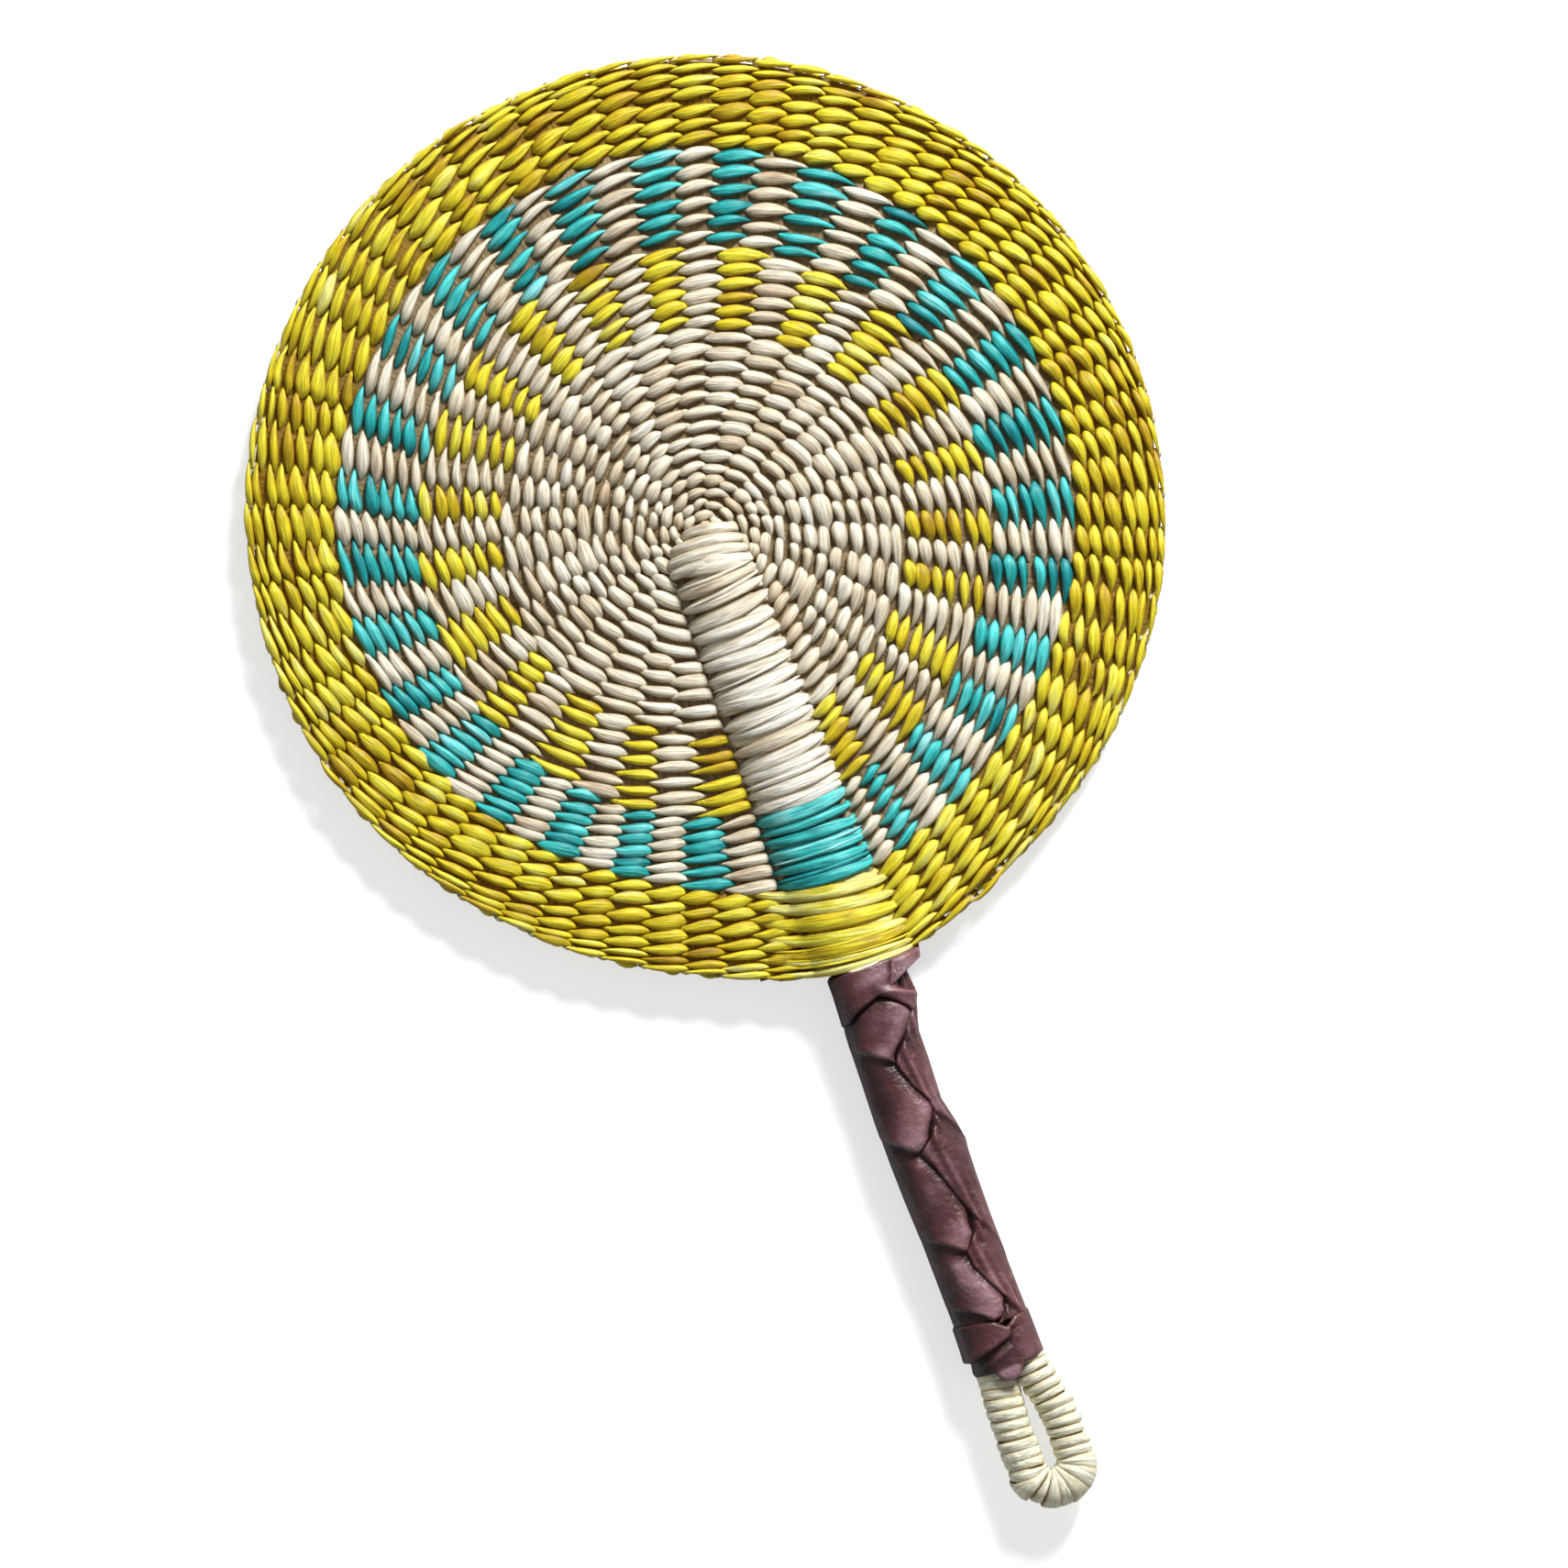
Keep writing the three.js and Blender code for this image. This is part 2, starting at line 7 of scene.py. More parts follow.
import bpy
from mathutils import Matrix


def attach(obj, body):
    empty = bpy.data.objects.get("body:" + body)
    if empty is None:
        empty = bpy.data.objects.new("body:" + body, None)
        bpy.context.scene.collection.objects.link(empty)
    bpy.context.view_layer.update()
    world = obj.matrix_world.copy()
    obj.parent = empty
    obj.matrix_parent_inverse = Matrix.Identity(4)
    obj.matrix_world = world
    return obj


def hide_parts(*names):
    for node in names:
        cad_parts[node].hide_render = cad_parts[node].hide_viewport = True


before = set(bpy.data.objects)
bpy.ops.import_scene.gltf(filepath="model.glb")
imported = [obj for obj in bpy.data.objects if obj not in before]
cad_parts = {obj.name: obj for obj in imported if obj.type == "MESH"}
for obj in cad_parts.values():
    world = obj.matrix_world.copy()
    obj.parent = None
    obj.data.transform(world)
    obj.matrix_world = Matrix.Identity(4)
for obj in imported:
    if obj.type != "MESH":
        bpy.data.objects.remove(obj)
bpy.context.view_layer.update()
print("CAD nodes:", len(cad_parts))

# %% Libraries and the fan's own frame
import math

import bmesh
import bpy
import numpy as np
from mathutils import Vector

MM = 0.001
FAN_ZERO = np.array([-3.7, 79.1, 8.5])


def on_fan(points):
    """Points of the fan's frame in millimetres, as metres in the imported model's frame."""
    return (np.asarray(points, dtype=float) + FAN_ZERO) * MM


def add_object(name, data):
    """A new object in the scene."""
    made = bpy.data.objects.new(name, data)
    bpy.context.collection.objects.link(made)
    return made


print("Zero of the fan in metres:", on_fan([0, 0, 0]))

# %% [markdown]
# The photograph looks straight down, with the handle turned to the lower right.
# A long lens far away keeps the disc round, as it is there.
# The picture's width in millimetres gives the lens, and its middle gives the camera's place.

# %% Camera above the fan
PICTURE_WIDTH = 444.6
PICTURE_MIDDLE = (-2.25, -74.9, 2.8)
CAMERA_HEIGHT = 1.8
CAMERA_TURN = math.radians(-20.34)
SENSOR_WIDTH = 36

camera_data = bpy.data.cameras.new("camera")
camera_data.sensor_width = SENSOR_WIDTH
camera_data.lens = SENSOR_WIDTH * CAMERA_HEIGHT / (PICTURE_WIDTH * MM)
camera = add_object("camera", camera_data)
camera.location = Vector(on_fan(PICTURE_MIDDLE)) + Vector((0, 0, CAMERA_HEIGHT))
camera.rotation_euler = (0, 0, CAMERA_TURN)
bpy.context.scene.camera = camera
bpy.context.scene.view_settings.view_transform = "Standard"
print("Lens in millimetres:", round(camera_data.lens, 1))

# %% [markdown]
# Materials are small node trees. These helpers keep each tree short to read. An input takes either a value
# or the output of another node, and each kind of step that comes back in every finish has a function.

# %% Helpers for material nodes
WHITE = (1, 1, 1, 1)


def set_inputs(tree, node, **inputs):
    """Give inputs a value or another node's output. They are named in words or as i0, i1, i2."""
    for name, value in inputs.items():
        socket = node.inputs[int(name[1:]) if name[1:].isdigit() else name.replace("_", " ")]
        if isinstance(value, bpy.types.NodeSocket):
            tree.links.new(value, socket)
        else:
            socket.default_value = value


def add_node(tree, kind, settings=None, **inputs):
    """A new node with its settings and its inputs."""
    node = tree.nodes.new("ShaderNode" + kind)
    for name, value in (settings or {}).items():
        setattr(node, name, value)
    set_inputs(tree, node, **inputs)
    return node


def calculate(tree, operation, *values):
    """The result of a sum on two or three values or outputs."""
    inputs = {f"i{index}": value for index, value in enumerate(values)}
    return add_node(tree, "Math", {"operation": operation}, **inputs).outputs[0]


def map_range(tree, value, source, target):
    """A value of the source range, carried over to the target range."""
    node = add_node(tree, "MapRange", Value=value, From_Min=source[0], From_Max=source[1],
                    To_Min=target[0], To_Max=target[1])
    return node.outputs[0]


def noise(tree, place, scale, detail, roughness=0.6):
    """Soft patches with values from 0 to 1."""
    node = add_node(tree, "TexNoise", Vector=place, Scale=scale, Detail=detail, Roughness=roughness)
    return node.outputs["Fac"]


def object_place(tree):
    """Where a point lies on its object, in metres."""
    return add_node(tree, "TexCoord").outputs["Object"]


def field_value(tree, field):
    """A field that the mesh stores for each of its points."""
    return add_node(tree, "Attribute", {"attribute_name": field}).outputs["Fac"]


def srgb(red, green, blue):
    """A screen colour, 0 to 255, as the linear colour that the shader wants."""
    share = np.array([red, green, blue]) / 255
    linear = np.where(share <= 0.04045, share / 12.92, ((share + 0.055) / 1.055) ** 2.4)
    return (*linear, 1)


def colour_ramp(tree, factor, stops):
    """A run of colours. Each stop is a position, 0 to 1, and its colour."""
    node = add_node(tree, "ValToRGB", Fac=factor)
    elements = node.color_ramp.elements
    while len(elements) < len(stops):
        elements.new(0.5)
    for element, (position, colour) in zip(elements, stops):
        element.position = position
        element.color = srgb(*colour)
    return node.outputs["Color"]


def mix_colours(tree, factor, first, second, blend="MIX"):
    """Two colours mixed. Sockets 6 and 7 are the node's colours."""
    settings = {"data_type": "RGBA", "blend_type": blend}
    return add_node(tree, "Mix", settings, Factor=factor, i6=first, i7=second).outputs[2]


def new_material(name):
    """A material with nothing but a shader and an output."""
    material = bpy.data.materials.new(name)
    material.use_nodes = True
    tree = material.node_tree
    tree.nodes.clear()
    shader = add_node(tree, "BsdfPrincipled")
    add_node(tree, "OutputMaterial", Surface=shader.outputs["BSDF"])
    return material, tree, shader


print("Mid grey as a linear value:", round(float(srgb(128, 128, 128)[0]), 3))

# %% [markdown]
# The fan lies on a white floor, a large disc that takes the soft shadow.
# The floor adds a little light of its own to camera rays only, so that the ground of the picture is white
# and the fan gets no extra light from it. Far from the lamps it adds a little more.

# %% Floor
FLOOR_RADIUS = 4
FLOOR_SEGMENTS = 96
FLOOR_GLOW = 0.6
FAR_GLOW = 0.85
GLOW_GROWS = (0.5, 2.5)

floor_mesh = bpy.data.meshes.new("floor")
shape = bmesh.new()
bmesh.ops.create_circle(shape, cap_ends=True, segments=FLOOR_SEGMENTS, radius=FLOOR_RADIUS)
shape.to_mesh(floor_mesh)
shape.free()
floor = add_object("floor", floor_mesh)

floor_white, tree, shader = new_material("floor_white")
camera_ray = add_node(tree, "LightPath").outputs["Is Camera Ray"]
distance = add_node(tree, "VectorMath", {"operation": "LENGTH"}, i0=object_place(tree)).outputs["Value"]
glow = map_range(tree, distance, GLOW_GROWS, (FLOOR_GLOW, FAR_GLOW))
set_inputs(tree, shader, Base_Color=(0.93, 0.93, 0.93, 1), Roughness=0.9, Specular_IOR_Level=0.1,
           Emission_Color=WHITE, Emission_Strength=calculate(tree, "MULTIPLY", camera_ray, glow))
floor_mesh.materials.append(floor_white)
print("Floor radius in metres:", FLOOR_RADIUS)

# %% [markdown]
# The light is a plain studio: a pale sky all round, one large soft lamp at the upper right of the picture,
# which gives the strips over the handle their bright right side, and a weaker one at the left.
# Each lamp has a place and a size in metres and a power in watts.

# %% Lights
SKY_LEVEL = 0.18
LAMPS = {
    "key": ((1.1, 1.25, 1.05), 0.5, 58.0),
    "fill": ((-1.1, -0.6, 1.2), 1.2, 1.2),
}

world = bpy.data.worlds.new("studio")
world.use_nodes = True
bpy.context.scene.world = world
tree = world.node_tree
tree.nodes.clear()
camera_ray = add_node(tree, "LightPath").outputs["Is Camera Ray"]
strength = calculate(tree, "MULTIPLY_ADD", camera_ray, 1 - SKY_LEVEL, SKY_LEVEL)
sky = add_node(tree, "Background", Color=WHITE, Strength=strength)
add_node(tree, "OutputWorld", Surface=sky.outputs[0])

for name, (place, size, power) in LAMPS.items():
    lamp_data = bpy.data.lights.new(name, "AREA")
    lamp_data.size = size
    lamp_data.energy = power
    lamp = add_object(name, lamp_data)
    lamp.location = place
    lamp.rotation_euler = (-Vector(place)).to_track_quat("-Z", "Y").to_euler()
print("Lamps:", list(LAMPS))

# %% [markdown]
# Nearly everything on this fan is a flat straw that runs along some path.
# A straw is made as a grid of faces: its long side becomes the path, and its short side is rolled into
# a flat tube. Each straw also stores where a point lies along it and across it, so the fibres in the
# material follow it, its tone, and its shade depth: how much painted shade it gets where it dives.

# %% Flat straws along paths
SIDES = 8
UP = np.array([0.0, 0.0, 1.0])
DOWN_HANDLE = np.array([0.0, -1.0, 0.0])


def unit(vectors):
    """Vectors made one long."""
    return vectors / np.maximum(np.linalg.norm(vectors, axis=-1, keepdims=True), 1e-9)


def straw(path, side, up, half_width, half_depth, along, tone, depth, pinched=True):
    """A flat tube round a path, as a grid of points with its fields. side and up span its section.
    A pinched straw is drawn together at both ends. edge is 0 at the crown and 1 at the two edges."""
    sizes = np.array([np.broadcast_to(size, len(path)) for size in (half_width, half_depth)], dtype=float)
    if pinched:
        sizes[:, [0, -1]] = 0
    turn = np.linspace(0, 2 * math.pi, SIDES + 1)[:, None]
    across = np.cos(turn) * sizes[0]
    rise = np.sin(turn) * sizes[1]
    points = path + across[..., None] * side + rise[..., None] * up
    edge = np.abs(np.cos(turn))
    return {"points": points, "along": along, "across": across, "tone": tone, "depth": depth, "edge": edge}


print("Faces round a straw:", SIDES)

# %% Meshes of many straws
WELD_DISTANCE = 1e-7


def grid_mesh(name, grids):
    """One mesh of many grids, each a dict of points and of fields with a value for each point."""
    shape = bmesh.new()
    for grid in grids:
        rows, columns = grid["points"].shape[:2]
        bmesh.ops.create_grid(shape, x_segments=columns - 1, y_segments=rows - 1, size=1)
    mesh = bpy.data.meshes.new(name)
    shape.to_mesh(mesh)
    shape.free()
    places = np.concatenate([grid["points"].reshape(-1, 3) for grid in grids])
    mesh.vertices.foreach_set("co", on_fan(places).ravel())
    for field in [key for key in grids[0] if key != "points"]:
        values = [np.broadcast_to(grid[field], grid["points"].shape[:2]).ravel() for grid in grids]
        layer = mesh.attributes.new(field, "FLOAT", "POINT")
        layer.data.foreach_set("value", np.concatenate(values))
    return mesh


def welded(mesh):
    """The mesh as a shape to work on, with the edges that meet made one."""
    shape = bmesh.new()
    shape.from_mesh(mesh)
    bmesh.ops.remove_doubles(shape, verts=shape.verts, dist=WELD_DISTANCE)
    return shape


def smoothed(shape, mesh):
    """Put the shape back into its mesh, shaded smooth."""
    for face in shape.faces:
        face.smooth = True
    shape.to_mesh(mesh)
    shape.free()
    return mesh


def straw_mesh(name, straws):
    """One mesh of many straws, with closed seams and faces turned outwards."""
    mesh = grid_mesh(name, straws)
    shape = welded(mesh)
    bmesh.ops.recalc_face_normals(shape, faces=shape.faces)
    return smoothed(shape, mesh)


def add_piece(mesh, material, slot, *nodes):
    """Put a mesh on the fan in place of CAD nodes."""
    mesh.materials.append(material)
    piece = add_object(mesh.name, mesh)
    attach(piece, "root")
    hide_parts(*nodes)
    faces = sum(len(face.vertices) - 2 for face in mesh.polygons)
    print(f"{mesh.name}: {faces} triangles")


print("Points become one within", WELD_DISTANCE, "metres")

# %% [markdown]
# Straw is pale, uneven and fibrous. Every stitch has its own tone, the dye is paler and stronger in
# patches, long streaks run along each straw and fine fibres catch the light. Painted shade darkens the
# ends that dive between spokes and the two edges of each straw. One function makes all straw finishes;
# only the colours, the colour of the painted shade among them, and the gloss differ.

# %% Straw finish
TONE_JUMP = 61.0


def straw_finish(name, colours, shade_colour, roughness=0.45):
    """Straw that runs through the colours, with painted shade towards a shade colour at its edges and where
    it dives.
    """
    material, tree, shader = new_material(name)
    fields = {field: field_value(tree, field) for field in ("along", "across", "tone", "depth", "edge")}

    def streaks(stretch, fineness, detail):
        """Noise drawn out along the straw, in another place for each tone."""
        sizes = {"along": stretch, "across": fineness, "tone": TONE_JUMP}
        x, y, z = [calculate(tree, "MULTIPLY", fields[field], size) for field, size in sizes.items()]
        place = add_node(tree, "CombineXYZ", X=x, Y=y, Z=z)
        return noise(tree, place.outputs[0], 1.0, detail)

    broad = streaks(stretch=0.1, fineness=0.7, detail=3.0)
    fine = streaks(stretch=0.13, fineness=1.5, detail=4.0)
    patches = noise(tree, object_place(tree), 45.0, 3.0)

    streaked = calculate(tree, "ADD", fields["tone"], calculate(tree, "MULTIPLY_ADD", broad, 0.9, -0.45))
    tone = calculate(tree, "ADD", streaked, map_range(tree, patches, (0.35, 0.65), (-0.17, 0.13)))
    dyed = colour_ramp(tree, tone, list(zip(np.linspace(0, 1, len(colours)), colours)))
    fibre = map_range(tree, fine, (0.34, 0.66), (0.58, 1.18))
    fibre_colour = add_node(tree, "VectorMath", {"operation": "SCALE"}, i0=dyed, Scale=fibre).outputs[0]

    # Painted shade: the ends that dive between spokes and the edges of the straw are darkened towards the
    # shade colour.
    dive_shade = map_range(tree, fields["depth"], (0.3, 1.0), (0.0, 0.9))
    side = map_range(tree, fields["edge"], (0.5, 1.0), (0.0, 0.7))
    painted_shade = calculate(tree, "MAXIMUM", dive_shade, side)
    gloss = map_range(tree, fine, (0, 1), (roughness - 0.12, roughness + 0.15))
    bump = add_node(tree, "Bump", Strength=0.7, Distance=0.0006, Height=fine)
    set_inputs(tree, shader, Base_Color=mix_colours(tree, painted_shade, fibre_colour, srgb(*shade_colour)),
               Roughness=gloss, Specular_IOR_Level=0.4, Normal=bump.outputs[0])
    return material


NATURAL = [(186, 156, 122), (217, 195, 164), (241, 230, 203), (250, 243, 221), (254, 250, 237)]
YELLOW = [(156, 113, 16), (202, 170, 23), (237, 218, 38), (250, 241, 68), (253, 249, 150)]
TEAL = [(10, 104, 96), (20, 140, 148), (48, 190, 187), (92, 224, 222), (168, 243, 243)]
# Painted shade: SHADED and SHADED_YELLOW are darker copies of the natural and the yellow straw, for the
# spokes seen between the rows.
SHADED = [(130, 107, 73), (154, 131, 93), (177, 154, 114)]
SHADED_YELLOW = [(130, 97, 18), (158, 122, 24), (182, 147, 30)]

natural_straw = straw_finish("straw_natural", NATURAL, (160, 138, 98))
yellow_straw = straw_finish("straw_yellow", YELLOW, (178, 132, 34))
teal_straw = straw_finish("straw_teal", TEAL, (10, 70, 66), 0.4)
shaded_straw = straw_finish("straw_shaded", SHADED, (90, 69, 40), 0.7)
shaded_yellow = straw_finish("straw_shaded_yellow", SHADED_YELLOW, (92, 64, 14), 0.7)
print("Straw finishes:", natural_straw.name, yellow_straw.name, teal_straw.name)

# %% [markdown]
# The disc is twined: in every row two straws go round together, one before a spoke and one behind it,
# and they change places between the spokes. Rows are circles whose middle drifts from the start of the
# weave to the middle of the disc. Towards the rim they grow a little oval, and they run down to the handle.

# %% Rows of the disc
WEAVE_START = (1.4, 0.0)
DISC_CENTER = (3.7, 4.8)
DISC_RADIUS = 130.8
DRIFT_RADII = (0, 80, 106, DISC_RADIUS)
DRIFT_SHARES = (0, 0, 0.8, 1)
FLARES = (0, 0, 5.7, 6.2)
FLARE_ANGLE = math.radians(15.5)
OVAL = (-0.3, 0.3, 0.6)
SPINE_TOP = 11.4
SPINE_RIM = 13.25
SPINE_SHARE = 0.8
STEEPEST = 0.85
LEAST_RIGHT = 0.2
LEAST_RIGHT_RADIUS = 8
SMALLEST_ROW = 0.1


def hump(value, width, power=2):
    """1 where the value is 0, falling off over the width on both sides."""
    return np.exp(-(np.abs(value / width) ** power))


def row_middle(radius):
    """The middle of a row, between the start of the weave and the middle of the disc."""
    drift = np.interp(radius, DRIFT_RADII, DRIFT_SHARES)
    return [start + (end - start) * drift for start, end in zip(WEAVE_START, DISC_CENTER)]


def row_point(radius, angle):
    """Points of a row. The angle runs from the handle, counter-clockwise seen from the front."""
    center_x, center_y = row_middle(radius)
    from_handle = (angle + math.pi) % (2 * math.pi) - math.pi
    flare = np.interp(radius, DRIFT_RADII, FLARES) * hump(from_handle, FLARE_ANGLE)
    oval = OVAL[0] + OVAL[1] * np.cos(2 * angle) + OVAL[2] * np.sin(2 * angle)
    reach = radius + flare + oval * (radius / DISC_RADIUS) ** 2
    return np.stack([center_x + reach * np.sin(angle), center_y - reach * np.cos(angle)], axis=-1)


def spine_half(radius):
    """Half the width of the strips over the handle core, which grows towards the rim."""
    return min(SPINE_TOP + (SPINE_RIM - SPINE_TOP) * radius / DISC_RADIUS, SPINE_SHARE * radius)


def spine_edges(radius):
    """Angles of a row at the left and the right edge of the strips over the handle core."""
    center_x = row_middle(radius)[0]
    half = spine_half(radius)
    reach = max(radius, SMALLEST_ROW)
    right_half = max(LEAST_RIGHT * min(reach, LEAST_RIGHT_RADIUS), half - center_x)
    left = math.asin(min(STEEPEST, (half + center_x) / reach))
    right = math.asin(min(STEEPEST, right_half / reach))
    return -left, right


def spine_ends(radius):
    """Points of a row at those two edges."""
    return [row_point(radius, angle) for angle in spine_edges(radius)]


def strip_level(radius):
    """Where a row crosses the handle core, along Y."""
    first, last = spine_ends(radius)
    return 0.5 * (first[1] + last[1])


print("Strip at the rim crosses at", round(float(strip_level(DISC_RADIUS)), 1))

# %% [markdown]
# A straw of a row swells over each spoke and thins where it dives between two, so it looks like a string
# of grains. It also slants a little: it starts on one side of the row and ends on the other, so that the
# pointed ends of neighbours interlock. In the middle of the disc the stitches lie straighter and end
# blunter. Over the handle core the same straw becomes a wide flat strip, raised by the core.
# The spokes don't stand quite evenly, so each band has a smooth lean that shifts its columns.

# %% Places of the stitches
LEG_STEPS = 8
SPINE_STEPS = 18
CALM_ANGLE = math.radians(12)
ROW_WAVES = ((0.22, 3, 1.7), (0.18, 8, 2.9))
luck = np.random.RandomState(7)


def row_stations(places):
    """Steps along a row: many over the handle core, which is place 0, and some for each spoke."""
    return np.concatenate([
        np.linspace(-0.5, 0.5, SPINE_STEPS, endpoint=False),
        np.linspace(0.5, places - 0.5, (places - 1) * LEG_STEPS + 1),
    ])


def place_angles(stations, radius, places, lean, shifts):
    """Angle at each station. The lean and the shifts fade out beside the handle core."""
    left, right = spine_edges(radius)
    angle = np.interp(stations, [-0.5, 0.5, places - 0.5], [left, right, 2 * math.pi + left])
    waves = [np.ones_like(angle), np.cos(angle), np.sin(angle), np.cos(2 * angle), np.sin(2 * angle)]
    leaning = sum(math.radians(size) * wave for size, wave in zip(lean, waves))
    leaning = leaning + np.interp(stations, np.arange(places + 1), np.append(shifts, shifts[0]))
    room = np.minimum(angle - right, 2 * math.pi + left - angle) / CALM_ANGLE
    return angle + leaning * np.clip(room, 0, 1)


def wobble(radius, angle):
    """Rows aren't quite round: small waves, different for every row."""
    return sum(size * np.sin(count * angle + turn * radius) for size, count, turn in ROW_WAVES)


print("Steps of a row with 44 places:", len(row_stations(44)))

# %% [markdown]
# Each stitch gets its own width, place and tone by a draw of luck, so no two are alike.
# Half widths and depths are pairs: a least value, and what the swell of the stitch adds to it.

# %% Strips and directions
TILT_RADII = (0, 30, 70, 95, DISC_RADIUS)
TILTS = (5, 6, 2, -1, -4)
CORE_FULL_RADIUS = 12


def strip_rise(radius):
    """How far the right end of a strip stands above its middle."""
    return spine_half(radius) * math.tan(math.radians(np.interp(radius, TILT_RADII, TILTS)))


def core_height(radius):
    """Share of the core's full height under a row: the core begins inside the first rows."""
    return min(1.0, radius / CORE_FULL_RADIUS)


def directions(path):
    """Direction of a closed path at each point. Its last point is its first."""
    forward = unit(np.roll(path, -1, axis=0) - np.roll(path, 1, axis=0))
    forward[0] = forward[-1] = unit(path[1] - path[-2])
    return forward


print("Rise of the strip at the rim:", round(strip_rise(DISC_RADIUS), 2))

# %% One straw of a twined row
FRONT_SHARE = 0.64
SWING = 1.9
SWING_POWER = 0.75
BACK_SWING = 1.2
BACK_POWER = 0.4
STRIP_FRONT = 7.3
STRIP_UNDER = 0.4
STRIP_BACK = 7.7
STRIP_LEAST = 1.0
ARCH_POWER = 0.7
SKEW = -0.22
STRIP_SKEW = 0.12
STITCH_RADII = (35, 75)
BLUNTS = (2.8, 2)
SLANTS = (0.13, 0.25)
STITCH_HALF = (0.06, 0.39)
STITCH_DEPTH = (0.4, 0.6)
STRIP_HALF = (0.2, 0.38)
STRIP_DEPTH = (0.5, 0.15)
PLUMP_SPREAD = 0.17
PLUMP_LIMITS = (-0.16, 0.5)
STRIP_PLUMP = 1.6
WANDER = 0.3
TONE_MIDDLE = 0.58
TONE_SPREAD = 0.13
TONE_LIMITS = (0.32, 1)
STRIP_TONE = 0.14


def twined_straw(radius, pitch, places, behind, lean, shifts):
    """A straw of a closed row with that many places, the handle core counted as place 0.
    in_stitch runs from -1 to 1 along each stitch, and stitch is the place that the stitch covers."""
    stations = row_stations(places)
    number = np.floor(stations + 0.5 + 1e-9).astype(int)
    number[-1] = places
    at_spine = number % places == 0
    phase = (stations + behind + 1) % 2 - 1
    front = np.where(at_spine, behind == 0, np.abs(phase) <= FRONT_SHARE)
    in_stitch = np.where(front, phase / FRONT_SHARE, (phase - np.sign(phase)) / (1 - FRONT_SHARE))
    in_stitch = np.where(at_spine, 2 * (stations - number), in_stitch)
    beside = front == ((number + behind) % 2 != 0)
    stitch = np.round(stations + beside * np.sign(stations - number) * 0.5).astype(int) % places

    angle = place_angles(stations, radius, places, lean, shifts)
    plan = row_point(radius + wobble(radius, angle), angle)
    first, last = spine_ends(radius)
    share = np.where(stations > 1, stations - places, stations) + 0.5
    plan[at_spine] = first + share[at_spine][:, None] * (last - first)
    heading = directions(plan)
    outward = np.stack([heading[:, 1], -heading[:, 0]], axis=-1)

    arch = (1 - in_stitch ** 2).clip(0)
    skewed = in_stitch + SKEW * (1 - in_stitch ** 2)
    swell = (1 - np.abs(skewed) ** np.interp(radius, STITCH_RADII, BLUNTS)).clip(0)
    strip_top = np.where(front, STRIP_FRONT - STRIP_UNDER, STRIP_BACK)
    strip_height = strip_top * core_height(radius) * arch ** ARCH_POWER
    swing = np.where(front, SWING * arch ** SWING_POWER, BACK_SWING * arch ** BACK_POWER)
    lift = np.where(at_spine, np.maximum(strip_height, STRIP_LEAST), swing)
    height = np.where(front, 1, -1) * lift

    plump = luck.normal(0, PLUMP_SPREAD, places).clip(*PLUMP_LIMITS)[stitch]
    wander = luck.normal(0, WANDER, places)[stitch] * arch
    slant = np.interp(radius, STITCH_RADII, SLANTS) * pitch * np.sin(math.pi / 2 * in_stitch)
    slant = np.where(front, -slant, slant)
    slant[at_spine] = -strip_rise(radius) * in_stitch[at_spine]
    strip_width = strip_level(radius - pitch / 2) - strip_level(radius + pitch / 2)
    blunt = (1 - np.abs(in_stitch - STRIP_SKEW * (1 - in_stitch ** 2)) ** 3).clip(0) ** 0.6
    half_width = np.where(
        at_spine,
        strip_width * (STRIP_HALF[0] + STRIP_HALF[1] * blunt) * (1 + STRIP_PLUMP * plump),
        pitch * (STITCH_HALF[0] + STITCH_HALF[1] * swell) * (1 + plump),
    )
    half_depth = np.where(
        at_spine,
        STRIP_DEPTH[0] + STRIP_DEPTH[1] * arch,
        STITCH_DEPTH[0] + STITCH_DEPTH[1] * swell,
    )

    plan = plan + outward * (slant + np.where(at_spine, 0, wander))[:, None]
    path = np.column_stack([plan, height])
    side = np.column_stack([outward, np.zeros(len(outward))])
    up = unit(np.cross(side, directions(path)))
    along = np.concatenate([[0], np.cumsum(np.linalg.norm(np.diff(path, axis=0), axis=1))])
    tone = luck.normal(TONE_MIDDLE, TONE_SPREAD, places).clip(*TONE_LIMITS)[stitch] + STRIP_TONE * at_spine
    # Painted shade at both ends of each stitch, where it dives between spokes, reaching further in at one
    # end.
    dive_shade = np.maximum(np.abs(in_stitch) ** 10, 0.35 * in_stitch.clip(0) ** 4)
    made = straw(path, side, up, half_width, half_depth, along, tone, dive_shade, pinched=False)
    made["points"][:, -1] = made["points"][:, 0]
    return made


print("Full height of the strips over the core:", STRIP_FRONT)

# %% [markdown]
# The four bands from the middle out: plain natural straw, natural with yellow dashes, natural with teal
# dashes, and a plain yellow border, whose last rows get narrower. Each band has its inner radius, the pitch
# of each row and its lean in degrees. Where two colours are twined, each colour stands before every second
# spoke, so it makes short radial columns. New spokes are laid in as the disc grows, so outer rows have
# more places; in the middle band their number grows with the radius.

